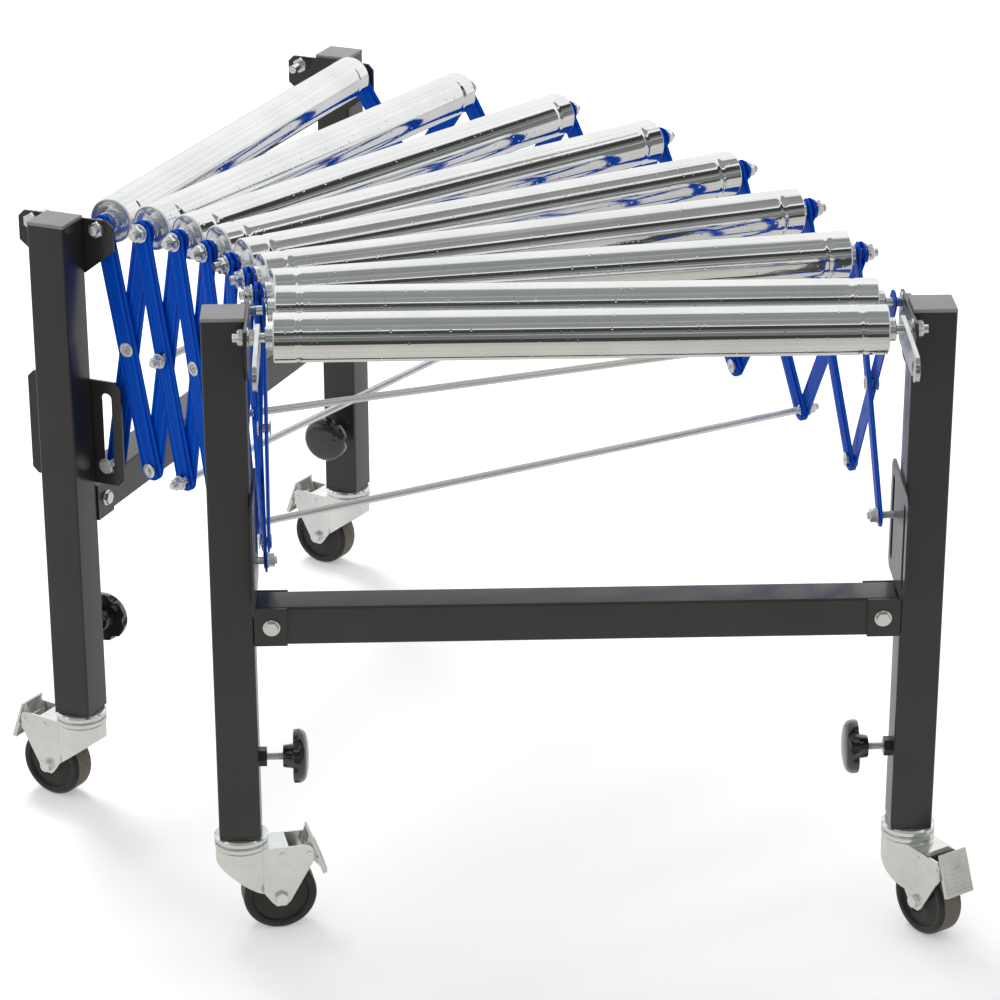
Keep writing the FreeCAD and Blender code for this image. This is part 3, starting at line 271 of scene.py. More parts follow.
def finish_of(name, dark, light, rough, patch=12.0, grain=900.0, metal=0.0, bump=0.05, coat=0.0, coat_rough=0.08,
              shine=0.5):
    """A material whose tone and gloss vary over the surface by the shared grain group."""
    material = bpy.data.materials.new(name)
    material.use_nodes = True
    nodes = material.node_tree
    shader = nodes.nodes["Principled BSDF"].inputs
    shader["Metallic"].default_value = metal
    shader["Specular IOR Level"].default_value = shine
    shader["Coat Weight"].default_value = coat
    shader["Coat Roughness"].default_value = coat_rough
    inputs = {"Patch Size": patch, "Grain Size": grain, "Dark": (*dark, 1), "Light": (*light, 1),
              "Rough Low": rough[0], "Rough High": rough[1]}
    source = added(nodes, "ShaderNodeGroup", inputs, node_tree=grain_group).outputs
    relief = added(nodes, "ShaderNodeBump", {"Strength": bump, "Distance": relief_depth, "Height": source["Height"]})
    wire(nodes, source["Color"], shader["Base Color"])
    wire(nodes, source["Roughness"], shader["Roughness"])
    wire(nodes, relief.outputs["Normal"], shader["Normal"])
    return material


def lighter(tone, times):
    """A tone some times as light."""
    return tuple(times * part for part in tone)


def solids_of(node):
    """The closed solids of a CAD node as welded meshes with whole flat faces."""
    shape = bmesh.new()
    shape.from_mesh(frame["nodes"][node].data)
    bmesh.ops.remove_doubles(shape, verts=shape.verts, dist=weld)
    bmesh.ops.dissolve_limit(shape, angle_limit=flat_angle, verts=shape.verts, edges=shape.edges)
    shape.verts.index_update()
    shape.faces.index_update()
    left = set(shape.faces)
    found = []
    for first in list(shape.faces):
        if first not in left:
            continue
        left.discard(first)
        reach = [first]
        island = {first}
        while reach:
            for edge in reach.pop().edges:
                near = edge.link_faces if len(edge.link_faces) == 2 else ()
                for face in near:
                    if face in left:
                        left.discard(face)
                        island.add(face)
                        reach.append(face)
        sides = {edge for face in island for edge in face.edges}
        if any(sum(face in island for face in edge.link_faces) != 2 for edge in sides):
            continue
        faces = sorted(island, key=lambda f: f.index)
        used = sorted({corner for face in faces for corner in face.verts}, key=lambda v: v.index)
        order = {corner: k for k, corner in enumerate(used)}
        solid = bpy.data.meshes.new(f"{node}_solid")
        solid.from_pydata([corner.co[:] for corner in order], [], [[order[v] for v in f.verts] for f in faces])
        found.append(solid)
    shape.free()
    found.sort(key=lambda solid: (-len(solid.vertices), tuple(solid.vertices[0].co)))
    return found


def extent(mesh):
    """Lowest and highest corner of a mesh."""
    low = Vector(min(v.co[k] for v in mesh.vertices) for k in range(3))
    high = Vector(max(v.co[k] for v in mesh.vertices) for k in range(3))
    return low, high


def settled(piece):
    """Turn an object's modifiers into a plain mesh and leave none on it."""
    shape = bpy.data.meshes.new_from_object(piece.evaluated_get(bpy.context.evaluated_depsgraph_get()))
    piece.modifiers.clear()
    piece.data = shape
    shape.name = piece.name


def mesh_of(name, shape):
    """A mesh from an edited shape, which is freed."""
    mesh = bpy.data.meshes.new(name)
    shape.to_mesh(mesh)
    shape.free()
    return mesh


def piece_of(name, meshes, material, body, edge=0.0, stand_for=None, smooth=radians(35)):
    """One visible piece from some meshes: edges broken, shaded, and riding on its body."""
    whole = bmesh.new()
    for mesh in meshes:
        whole.from_mesh(mesh)
    shape = mesh_of(name, whole)
    shape.materials.append(material)
    piece = put(name, shape)
    shape.shade_smooth()
    shape.set_sharp_from_angle(angle=smooth)
    if edge:
        bevel = piece.modifiers.new("edges", "BEVEL")
        bevel.width = edge
        bevel.segments = 2
        bevel.limit_method = "ANGLE"
        bevel.angle_limit = bevel_angle
        bevel.harden_normals = True
        settled(piece)
    for face in piece.data.polygons:
        face.material_index = 0
    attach(piece, body)
    if stand_for:
        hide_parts(stand_for)


powder_coat = finish_of("powder_coat", coat_tone, lighter(coat_tone, 1.6), (0.26, 0.34), patch=9.0, grain=1400.0,
                        bump=0.06, coat=0.38, coat_rough=0.16)
cap_plastic = finish_of("cap_plastic", cap_tone, lighter(cap_tone, 1.25), (0.5, 0.62), patch=40.0, grain=2600.0,
                        bump=0.25)
for stand in ("front", "rear"):
    node = f"{stand}_frame"
    tubes, caps = [], []
    for solid in solids_of(node):
        low, high = extent(solid)
        is_cap = high.z - low.z < cap_depth
        (caps if is_cap else tubes).append(solid)
    piece_of(f"{stand}_tubes", tubes, powder_coat, f"{stand}_stand", edge=sheet_edge, stand_for=node)
    piece_of(f"{stand}_caps", caps, cap_plastic, f"{stand}_stand", edge=sheet_edge)
corners = ("front_left", "front_right", "rear_left", "rear_right")
for corner in corners:
    leg = f"leg_{corner}"
    piece_of(f"inner_{leg}", solids_of(leg), powder_coat, leg, edge=sheet_edge, stand_for=leg)

# Casters: a zinc-plated pressing with a double swivel ring and two cheeks, a hard black wheel on a
# bolt between them, and a ribbed brake pedal on a pin behind the cheeks.
zinc_dark = (0.76, 0.80, 0.78)
zinc_light = (0.95, 0.97, 0.94)
tread_tone = (0.17, 0.145, 0.12)
wheel_tone = (0.012, 0.0105, 0.0095)
wheel_radius = 0.0395
wheel_half = 0.0145
tread_round = 0.005
hub_radius = 0.012
bore_radius = 0.00408
cheek_out = 0.0185
bolt_radius = 0.004
bolt_flats = 0.013
bolt_head_high = 0.0053
bolt_nut_high = 0.0065
thread_pitch = 0.00125
axis_gap = 0.0002
web_sink = 0.003
tread_band = 0.0001
scuff_size = 420.0
scuff_contrast = 1.5
scuff_gain = 2.6
scuff_rough = (0.8, 0.8, 0.8, 1)
fork_edge = 0.0004
pin_edge = 0.0005
pedal_edge = 0.0003
half_turn = Matrix.Rotation(pi, 4, "Z")
joints = {joint["name"]: joint for joint in frame["record"]["behaviour"]["joints"]}


def outward(mesh):
    """The same mesh with every face turned outwards."""
    shape = bmesh.new()
    shape.from_mesh(mesh)
    bmesh.ops.recalc_face_normals(shape, faces=shape.faces)
    shape.to_mesh(mesh)
    shape.free()
    return mesh


def solid_from(name, corners, faces):
    """A closed mesh from its corners and faces, turned outwards."""
    mesh = bpy.data.meshes.new(name)
    mesh.from_pydata(corners, [], faces)
    return outward(mesh)


def lathe(name, outline, turns=72):
    """A solid turned about the X axis from a closed outline of (x, radius) points."""
    corners, faces = [], []
    count = len(outline)
    for k in range(turns):
        angle = 2 * pi * k / turns
        corners += [(x, r * cos(angle), r * sin(angle)) for x, r in outline]
        near, far = k * count, (k + 1) % turns * count
        for i in range(count):
            j = (i + 1) % count
            faces.append((near + i, near + j, far + j, far + i))
    return solid_from(name, corners, faces)


def arc(x, r, radius, start, end, steps=6):
    """Points of an arc in the (x, radius) plane, by its centre and angles in degrees."""
    points = []
    for k in range(steps + 1):
        angle = radians(start + (end - start) * k / steps)
        points.append((x + radius * cos(angle), r + radius * sin(angle)))
    return points


def pointed(spot, ahead):
    """Frame at a point, with X along a level or sloping direction."""
    side = Vector((0, 0, 1)).cross(ahead).normalized()
    return axes_at(spot, ahead, side, ahead.cross(side))


def along(joint):
    """Frame at a joint, with X along its axis and Z as upright as it can be."""
    return pointed(Vector(joints[joint]["pos_m"]), Vector(joints[joint]["axis"]).normalized())


def moved(mesh, matrix):
    """A copy of a mesh at another place."""
    copy = mesh.copy()
    copy.transform(matrix)
    return copy


def shifted(reach):
    """A step along X."""
    return Matrix.Translation((reach, 0, 0))


def thread(start, end, radius, depth=0.0004, pitch=thread_pitch):
    """Outline of a threaded stretch: a crest and a root for each turn."""
    points = [(start, radius - depth)]
    for k in range(int((end - start) / pitch)):
        points += [(start + (k + 0.5) * pitch, radius), (start + (k + 1) * pitch, radius - depth)]
    return points + [(end, radius - depth)]


def threaded_bar(name, start, end, radius, threads=()):
    """A round bar along X, with threads on the stretches given."""
    outline = [(start, axis_gap)]
    reach = start
    for low, high in threads:
        if low > reach:
            outline += [(reach, radius), (low, radius)]
        outline += thread(low, high, radius)
        reach = high
    if reach < end:
        outline += [(reach, radius), (end, radius)]
    return lathe(name, outline + [(end, axis_gap)], turns=24)


def hex_nut(name, flats, height, bore):
    """A hexagon nut along X from the origin, with its corners turned off at both faces."""
    sides, turns = 6, 48
    land = 0.48 * flats
    chamfer = 0.16 * height
    rings = [(0.0, land), (chamfer, flats), (height - chamfer, flats), (height, land)]
    corners, faces = [], []
    for x, limit in rings:
        for k in range(turns):
            angle = 2 * pi * k / turns
            off = (angle + pi / sides) % (2 * pi / sides) - pi / sides
            radius = min(flats / 2 / cos(off), limit)
            corners.append((x, radius * cos(angle), radius * sin(angle)))
    for x in (height, 0.0):
        for k in range(turns):
            angle = 2 * pi * k / turns
            corners.append((x, bore * cos(angle), bore * sin(angle)))
    count = len(rings) + 2
    for ring in range(count):
        for k in range(turns):
            near, far = ring * turns, (ring + 1) % count * turns
            faces.append((near + k, near + (k + 1) % turns, far + (k + 1) % turns, far + k))
    return solid_from(name, corners, faces)


def wheel_outline():
    """Section of the wheel: a rounded tread, a sunk web on each side and a hub."""
    half, edge = wheel_half, tread_round
    web = half - web_sink
    right = arc(half - edge, wheel_radius - edge, edge, 90, 0)
    right += [(half, wheel_radius - 0.008), (half - 0.0006, wheel_radius - 0.0088), (web, wheel_radius - 0.0100)]
    right += [(web, hub_radius + 0.003), (half - 0.0008, hub_radius + 0.0008), (half, hub_radius), (half, bore_radius)]
    return right + [(-x, r) for x, r in reversed(right)]


def worn(material, tone):
    """Scuff a material to another tone where the mesh is marked as worn."""
    nodes = material.node_tree
    shader = nodes.nodes["Principled BSDF"].inputs
    mark = added(nodes, "ShaderNodeAttribute", attribute_name="wear").outputs["Fac"]
    scuff = joined(nodes, "POWER", noise(nodes, coordinates(nodes), scuff_size, detail=3.0), scuff_contrast)
    share = joined(nodes, "MULTIPLY", joined(nodes, "MULTIPLY", mark, scuff), scuff_gain)
    share = joined(nodes, "MINIMUM", share, 1.0)
    for socket, value in (("Base Color", (*tone, 1)), ("Roughness", scuff_rough)):
        plain = shader[socket].links[0].from_socket
        wire(nodes, toned(nodes, share, plain, value), shader[socket])


caster_zinc = finish_of("caster_zinc", zinc_dark, zinc_light, (0.12, 0.20), patch=11.0, grain=120.0, metal=0.8,
                        bump=0.04)
bolt_zinc = finish_of("bolt_zinc", (0.80, 0.84, 0.84), (0.93, 0.95, 0.94), (0.12, 0.24), patch=60.0, metal=0.6,
                      bump=0.01)
pedal_zinc = finish_of("pedal_zinc", (0.66, 0.67, 0.63), (0.88, 0.88, 0.84), (0.26, 0.42), patch=45.0, grain=500.0,
                       metal=0.45, bump=0.03)
hard_wheel = finish_of("hard_wheel", wheel_tone, lighter(wheel_tone, 2.5), (0.28, 0.50), patch=70.0, grain=700.0,
                       bump=0.12, shine=0.35, coat=0.15, coat_rough=0.12)
worn(hard_wheel, tread_tone)
wheel_mesh = lathe("wheel", wheel_outline(), turns=96)
wear = wheel_mesh.attributes.new("wear", "FLOAT", "POINT")
for mark, corner in zip(wear.data, wheel_mesh.vertices):
    mark.value = 1.0 if corner.co.yz.length > wheel_radius - tread_band else 0.0
bolt_head = hex_nut("wheel_bolt_head", bolt_flats, bolt_head_high, axis_gap)
bolt_nut = hex_nut("wheel_bolt_nut", bolt_flats, bolt_nut_high, bolt_radius)
bolt_end = cheek_out + bolt_nut_high
bolt_shank = threaded_bar("wheel_bolt_shank", -cheek_out, bolt_end, bolt_radius, [(cheek_out, bolt_end)])
nut_seat = shifted(cheek_out)
head_seat = half_turn @ nut_seat
for corner in corners:
    fork = f"caster_fork_{corner}"
    pressing, *pins = solids_of(fork)
    hub = along(f"wheel_roll_{corner}")
    bolt = [moved(bolt_shank, hub), moved(bolt_nut, hub @ nut_seat), moved(bolt_head, hub @ head_seat)]
    piece_of(f"{fork}_pressing", [pressing], caster_zinc, fork, edge=fork_edge, stand_for=fork)
    piece_of(f"{fork}_pins", pins, bolt_zinc, fork, edge=pin_edge)
    piece_of(f"{fork}_bolt", bolt, bolt_zinc, fork, smooth=radians(25))
    pedal = f"brake_pedal_{corner}"
    piece_of(f"{pedal}_plate", solids_of(pedal), pedal_zinc, pedal, edge=pedal_edge, stand_for=pedal)
    wheel = f"wheel_{corner}"
    piece_of(f"{wheel}_tyre", [moved(wheel_mesh, hub)], hard_wheel, wheel, stand_for=wheel,
             smooth=radians(50))

# Clamp knobs: a glossy black round moulding with finger scoops behind its rim, on a threaded zinc
# stud. It screws through a nut welded on the inner face of each post and holds the inner leg.
knob_tone = (0.010, 0.010, 0.010)
knob_reach = 0.047
knob_edge = 0.0008
hub_end = 0.058
hub_flare = 1.12
hub_sink = 0.002
knob_hub = 0.012
knob_rim = 0.0288
knob_thick = 0.016
rim_round = 0.0095
rim_back = 0.002
crown_rise = 0.0007
scoop_count = 6
scoop_ring = 0.0335
scoop_deep = 0.0105
scoop_half = 0.0085
stud_radius = 0.004
stud_start = 0.0199
stud_end = 0.048


def cut_from(mesh, cutters):
    """A mesh with other meshes cut out of it."""
    whole = put("whole", mesh)
    tools = []
    for cutter in cutters:
        tool = put("tool", cutter)
        cut = whole.modifiers.new("cut", "BOOLEAN")
        cut.operation = "DIFFERENCE"
        cut.solver = "EXACT"
        cut.object = tool
        tools.append(tool)
    settled(whole)
    shape = whole.data
    for thing in tools + [whole]:
        bpy.data.objects.remove(thing)
    return shape


def knob_head():
    """Round crowned head behind the hub, with the scoops cut into the back of its rim."""
    crown = hub_end + knob_thick
    outline = [(hub_end, stud_radius), (hub_end, knob_rim - knob_edge), (hub_end + knob_edge, knob_rim)]
    outline += arc(crown - rim_round - rim_back, knob_rim - rim_round, rim_round, 90, 15, steps=10)
    outline += [(crown - crown_rise, knob_rim / 2), (crown, axis_gap)]
    shape = bmesh.new()
    bmesh.ops.create_uvsphere(shape, u_segments=32, v_segments=20, radius=1.0)
    scoop = mesh_of("scoop", shape)
    scoop_size = Matrix.Diagonal((scoop_deep, scoop_half, scoop_half, 1))
    scoop.transform(Matrix.Translation((hub_end, 0, scoop_ring)) @ scoop_size)
    turns = [Matrix.Rotation(2 * pi * (k + 0.5) / scoop_count, 4, "X") for k in range(scoop_count)]
    return cut_from(lathe("knob_head", outline, turns=96), [moved(scoop, turn) for turn in turns])


knob_gloss = finish_of("knob_gloss", knob_tone, lighter(knob_tone, 1.5), (0.10, 0.17), patch=30.0, grain=500.0,
                       bump=0.01, coat=1.0, coat_rough=0.05)
hub_outline = [(knob_reach, stud_radius), (knob_reach, knob_hub - knob_edge), (knob_reach + knob_edge, knob_hub)]
hub_outline += [(hub_end, knob_hub * hub_flare), (hub_end + hub_sink, stud_radius)]
hub_mesh = lathe("knob_hub", hub_outline)
head_mesh = knob_head()
stud_mesh = threaded_bar("clamp_stud", stud_start, stud_end, stud_radius, [(stud_start, stud_end)])
for corner in corners:
    knob = f"clamp_knob_{corner}"
    place = along(f"clamp_turn_{corner}")
    piece_of(f"{knob}_moulding", [moved(hub_mesh, place), moved(head_mesh, place)], knob_gloss, knob,
             stand_for=knob, smooth=radians(40))
    piece_of(f"{knob}_stud", [moved(stud_mesh, place)], bolt_zinc, knob, smooth=radians(20))

# Rollers: bright zinc-plated steel tube with a ring swaged in near each end. A pressed, dished cup
# with a grooved bearing boss closes each end and runs on a fixed axle.
tube_length = 0.608
tube_radius = 0.025
tube_wall = 0.0015
ring_inset = 0.025
ring_width = 0.0026
ring_depth = 0.0009
cup_play = 0.00005
cup_deep = 0.012
boss_radius = 0.0120
groove_radius = 0.0115
axle_bore = 0.00505
lip = 0.0014
end_stretch = 0.045
roller_stretch = (1.5, 620, 620)
line_span = (0.36, 0.58)
line_depth = 0.00006
line_least = 0.90
roller_count = 9


def finished(tree, geometry, given, made):
    """End a geometry tree: copies made real and the finish set."""
    whole = added(tree, "GeometryNodeRealizeInstances", {"Geometry": geometry}).outputs["Geometry"]
    coloured = added(tree, "GeometryNodeSetMaterial", {"Geometry": whole, "Material": given["Finish"]})
    wire(tree, coloured.outputs["Geometry"], made["Geometry"])


def swaged_tube_tree():
    """Geometry nodes: a wall bent round the X axis, with a dip at each swaged ring."""
    tree = bpy.data.node_groups.new("swaged_tube", "GeometryNodeTree")
    lengths = ("Length", "Radius", "Wall", "Ring Inset", "Ring Width", "Ring Depth", "End Stretch")
    inputs = [("Geometry", "Geometry"), ("Rows", "Int"), ("Turns", "Int")]
    inputs += [(name, "Float") for name in lengths]
    given, made = sockets(tree, inputs + [("Finish", "Material")], [("Geometry", "Geometry")])
    maths = partial(joined, tree)
    rows = maths("MULTIPLY", given["Rows"], 2)
    counts = {"Vertices X": maths("ADD", rows, 1), "Vertices Y": maths("ADD", given["Turns"], 1)}
    sheet = added(tree, "GeometryNodeMeshGrid", counts).outputs["Mesh"]
    spot = apart(tree, added(tree, "GeometryNodeInputPosition").outputs["Position"])
    row = maths("MODULO", maths("ROUND", maths("MULTIPLY", maths("ADD", spot["X"], 0.5), rows)), rows)
    inside = maths("GREATER_THAN", row, maths("SUBTRACT", given["Rows"], 0.5))
    back = maths("SUBTRACT", maths("SUBTRACT", rows, 1), row)
    step = maths("ADD", maths("MULTIPLY", inside, back), maths("MULTIPLY", maths("SUBTRACT", 1, inside), row))
    run = maths("SUBTRACT", maths("MULTIPLY", maths("DIVIDE", step, maths("SUBTRACT", given["Rows"], 1)), 2), 1)
    inward = maths("SUBTRACT", 1, maths("ABSOLUTE", run))
    half = maths("MULTIPLY", given["Length"], 0.5)
    fine = maths("MULTIPLY", given["End Stretch"], inward)
    coarse = maths("MULTIPLY", maths("SUBTRACT", half, given["End Stretch"]), maths("POWER", inward, 10))
    from_end = maths("ADD", fine, coarse)
    along_axis = maths("MULTIPLY", maths("SUBTRACT", half, from_end), maths("SIGN", run))
    near = maths("DIVIDE", maths("SUBTRACT", from_end, given["Ring Inset"]), given["Ring Width"])
    fall = maths("EXPONENT", maths("MULTIPLY", maths("MULTIPLY", near, near), -1))
    dip = maths("MULTIPLY", fall, given["Ring Depth"])
    radius = maths("SUBTRACT", maths("SUBTRACT", given["Radius"], dip), maths("MULTIPLY", inside, given["Wall"]))
    angle = maths("MULTIPLY", maths("ADD", spot["Y"], 0.5), 2 * pi)
    bent = added(tree, "ShaderNodeCombineXYZ", {
        "X": along_axis, "Y": maths("MULTIPLY", radius, maths("COSINE", angle)),
        "Z": maths("MULTIPLY", radius, maths("SINE", angle))}).outputs["Vector"]
    laid = added(tree, "GeometryNodeSetPosition", {"Geometry": sheet, "Position": bent}).outputs["Geometry"]
    closed = added(tree, "GeometryNodeMergeByDistance", {"Geometry": laid, "Distance": weld}).outputs["Geometry"]
    finished(tree, closed, given, made)
    return tree


def grown(tree, mesh, **inputs):
    """The plain mesh that a geometry node tree makes from a mesh, with its inputs set by name."""
    holder = put("holder", mesh)
    modifier = holder.modifiers.new("tree", "NODES")
    modifier.node_group = tree
    for item in tree.interface.items_tree:
        wanted = inputs.get(item.name.lower().replace(" ", "_"))
        if item.in_out == "INPUT" and wanted is not None:
            modifier[item.identifier] = wanted
    shape = bpy.data.meshes.new_from_object(holder.evaluated_get(bpy.context.evaluated_depsgraph_get()))
    bpy.data.objects.remove(holder)
    return shape


def cup_outline():
    """Half section of the right-hand cup, from its rolled rim over the dish to the grooved boss."""
    end = tube_length / 2
    rim = tube_radius - tube_wall - cup_play
    points = [(end - cup_deep, rim), (end - 0.0006, rim), (end, rim - 0.0005), (end, rim - 0.0013)]
    points += [(end - 0.0010, rim - 0.0030), (end - 0.0032, rim - 0.0058), (end - 0.0046, rim - 0.0080)]
    points += [(end - 0.0050, 0.0128), (end - 0.0044, boss_radius), (end + 0.0034, boss_radius)]
    points += [(end + 0.0038, groove_radius), (end + 0.0042, groove_radius), (end + 0.0046, boss_radius)]
    points += [(end + 0.0070, boss_radius), (end + 0.0079, 0.0111), (end + 0.0079, 0.0072), (end + 0.0070, 0.0068)]
    return points + [(end + 0.0070, axle_bore), (end - cup_deep, axle_bore)]


def own_coordinates(mesh):
    """Keep a mesh's present coordinates on it, for patterns that follow its length."""
    kept = mesh.attributes.new("strip", "FLOAT_VECTOR", "POINT")
    for mark, corner in zip(kept.data, mesh.vertices):
        mark.vector = corner.co


def drawn_lines(nodes, stretch):
    """Noise drawn out along a piece by its own coordinates, as the noise and the coordinates."""
    local = added(nodes, "ShaderNodeAttribute", attribute_name="strip").outputs["Vector"]
    stretched = added(nodes, "ShaderNodeVectorMath", {0: local, 1: stretch}, operation="MULTIPLY")
    return noise(nodes, stretched.outputs["Vector"], 1.0), local


def raised(material, height, depth):
    """Add one more relief to a material, over the relief that it has."""
    nodes = material.node_tree
    normal = nodes.nodes["Principled BSDF"].inputs["Normal"]
    inputs = {"Strength": 1.0, "Distance": depth, "Height": height, "Normal": normal.links[0].from_socket}
    wire(nodes, added(nodes, "ShaderNodeBump", inputs).outputs["Normal"], normal)


def lined(material, lines, least):
    """Darken a material along drawn-out lines, to a least share of its tone."""
    nodes = material.node_tree
    tone = nodes.nodes["Principled BSDF"].inputs["Base Color"]
    share = spread(nodes, lines, *line_span, least=least)
    wire(nodes, toned(nodes, 1.0, tone.links[0].from_socket, share, blend_type="MULTIPLY"), tone)


def dented(material, spacing, share, depth):
    """Press sparse small round dents into a material, as left by handled loads."""
    nodes = material.node_tree
    cells = added(nodes, "ShaderNodeTexVoronoi", {"Vector": coordinates(nodes), "Scale": 1 / spacing})
    hollow = spread(nodes, cells.outputs["Distance"], 0.0, share, interpolation_type="SMOOTHSTEP")
    raised(material, hollow, depth)


roller_zinc = finish_of("roller_zinc", (0.82, 0.83, 0.83), (0.93, 0.94, 0.93), (0.04, 0.09), patch=14.0, grain=320.0,
                        metal=1.0, bump=0.012)
roller_lines = drawn_lines(roller_zinc.node_tree, roller_stretch)[0]
raised(roller_zinc, roller_lines, line_depth)
lined(roller_zinc, roller_lines, line_least)
dented(roller_zinc, spacing=0.007, share=0.22, depth=0.0001)
cup_zinc = finish_of("cup_zinc", (0.80, 0.84, 0.85), (0.93, 0.95, 0.95), (0.16, 0.24), patch=25.0, grain=700.0,
                     metal=0.85, bump=0.005)
rim_zinc = finish_of("rim_zinc", (0.80, 0.81, 0.80), (0.93, 0.93, 0.92), (0.35, 0.5), patch=90.0, metal=0.2,
                     bump=0.01)
tube_mesh = outward(grown(swaged_tube_tree(), bpy.data.meshes.new("tube"), rows=80, turns=96,
                          length=tube_length - 2 * lip, radius=tube_radius, wall=tube_wall,
                          ring_inset=ring_inset - lip, ring_width=ring_width, ring_depth=ring_depth,
                          end_stretch=end_stretch, finish=roller_zinc))
own_coordinates(tube_mesh)
tube_end = tube_length / 2 - lip
lip_outline = [(tube_end, tube_radius - tube_wall)] + arc(tube_end, tube_radius - lip, lip, 90, 0)
lip_mesh = lathe("lip", lip_outline + [(tube_end + lip, tube_radius - tube_wall)], turns=96)
cup_mesh = lathe("cup", cup_outline())
for number in range(1, roller_count + 1):
    roller = f"roller_{number}"
    place = along(f"roller_spin_{number}")
    piece_of(f"{roller}_tube", [moved(tube_mesh, place)], roller_zinc, roller, stand_for=roller,
             smooth=radians(50))
    for part, shape, finish in (("cups", cup_mesh, cup_zinc), ("rims", lip_mesh, rim_zinc)):
        ends = [moved(shape, place), moved(shape, place @ half_turn)]
        piece_of(f"{roller}_{part}", ends, finish, roller, smooth=radians(28))

# Axles and their hardware: plain zinc rods, threaded at the ends. The lattice axles carry a washer and
# a nut outside the bars, the stand axles a washer inside and a nut outside each plate. The front
# roller's axle has a nut inside each plate as well.
link_axles = range(2, 8)
stand_axles = (("front", (8, 9)), ("rear", (1,)))
axle_radius = 0.005
link_stop = 0.3251
plate_out = 0.333
plate_in = 0.330
washer_thick = 0.0015
nut_high = 0.0065
nut_flats = 0.016
thread_tip = 0.005
axle_grip = 0.022
washer_wide = 0.0105


def placing_tree():
    """Geometry nodes: one shape on every point, turned by the point's quaternion."""
    tree = bpy.data.node_groups.new("placing", "GeometryNodeTree")
    inputs = [("Geometry", "Geometry"), ("Shape", "Object"), ("Finish", "Material")]
    given, made = sockets(tree, inputs, [("Geometry", "Geometry")])
    shape = added(tree, "GeometryNodeObjectInfo", {"Object": given["Shape"]}).outputs["Geometry"]
    turn = added(tree, "GeometryNodeInputNamedAttribute", {"Name": "turn"}, data_type="QUATERNION")
    copies = added(tree, "GeometryNodeInstanceOnPoints", {
        "Points": given["Geometry"], "Instance": shape, "Rotation": turn.outputs["Attribute"]})
    finished(tree, copies.outputs["Instances"], given, made)
    return tree


placing = placing_tree()


def copies_of(shape, places, finish):
    """Copies of a mesh at the places given, made by the placing tree."""
    points = bpy.data.meshes.new("points")
    points.from_pydata([place.translation for place in places], [], [])
    turns = points.attributes.new("turn", "QUATERNION", "POINT")
    for k, place in enumerate(places):
        turns.data[k].value = place.to_quaternion()
    model = put("model", shape)
    mesh = grown(placing, points, shape=model, finish=finish)
    bpy.data.objects.remove(model)
    return mesh


def washer(name, bore, wide, thick, edge=0.0003):
    """A flat washer along X from the origin, with broken edges."""
    outline = [(0, bore), (0, wide - edge), (edge, wide), (thick - edge, wide), (thick, wide - edge), (thick, bore)]
    return lathe(name, outline, turns=48)


def end_places(place, offset):
    """Places at both ends of an axle, each with X pointing outwards."""
    return [place @ shifted(offset), place @ half_turn @ shifted(offset)]


hardware_zinc = finish_of("hardware_zinc", (0.78, 0.81, 0.81), (0.90, 0.92, 0.91), (0.10, 0.18), patch=30.0,
                          metal=0.92, bump=0.008)
axle_nut = hex_nut("axle_nut", nut_flats, nut_high, axle_radius)
axle_washer = washer("axle_washer", axle_radius, washer_wide, washer_thick)


def axle_bar(name, end):
    """A rod across the conveyor, with threaded ends."""
    return threaded_bar(name, -end, end, axle_radius, [(-end, axle_grip - end), (end - axle_grip, end)])


link_bar = axle_bar("link_bar", link_stop + washer_thick + nut_high + thread_tip)
for number in link_axles:
    axle = f"axle_{number}"
    place = along(f"roller_spin_{number}")
    meshes = [moved(link_bar, place)]
    meshes.append(copies_of(axle_washer, end_places(place, link_stop), hardware_zinc))
    meshes.append(copies_of(axle_nut, end_places(place, link_stop + washer_thick), hardware_zinc))
    piece_of(f"{axle}_rod", meshes, hardware_zinc, axle, stand_for=axle, smooth=radians(25))
stand_bar = axle_bar("stand_bar", plate_out + nut_high + thread_tip)
for stand, numbers in stand_axles:
    meshes, nuts, washers = [], [], []
    for number in numbers:
        place = along(f"roller_spin_{number}")
        meshes.append(moved(stand_bar, place))
        nuts += end_places(place, plate_out)
        washers += end_places(place, plate_in - washer_thick)
        if number == roller_count:
            nuts += end_places(place, plate_in - washer_thick - nut_high)
    meshes.append(copies_of(axle_nut, nuts, hardware_zinc))
    meshes.append(copies_of(axle_washer, washers, hardware_zinc))
    hardware = f"{stand}_hardware"
    piece_of(f"{stand}_axles", meshes, hardware_zinc, f"{stand}_stand", stand_for=hardware,
             smooth=radians(25))
    bolts = []
    for solid in solids_of(hardware):
        low, high = extent(solid)
        middle = (low + high) / 2
        spots = [along(f"roller_spin_{number}").inverted() @ middle for number in numbers]
        if not any(abs(spot.y) < axle_radius and abs(spot.z) < axle_radius for spot in spots):
            bolts.append(solid)
    piece_of(f"{stand}_bolts", bolts, hardware_zinc, f"{stand}_stand", edge=pin_edge)
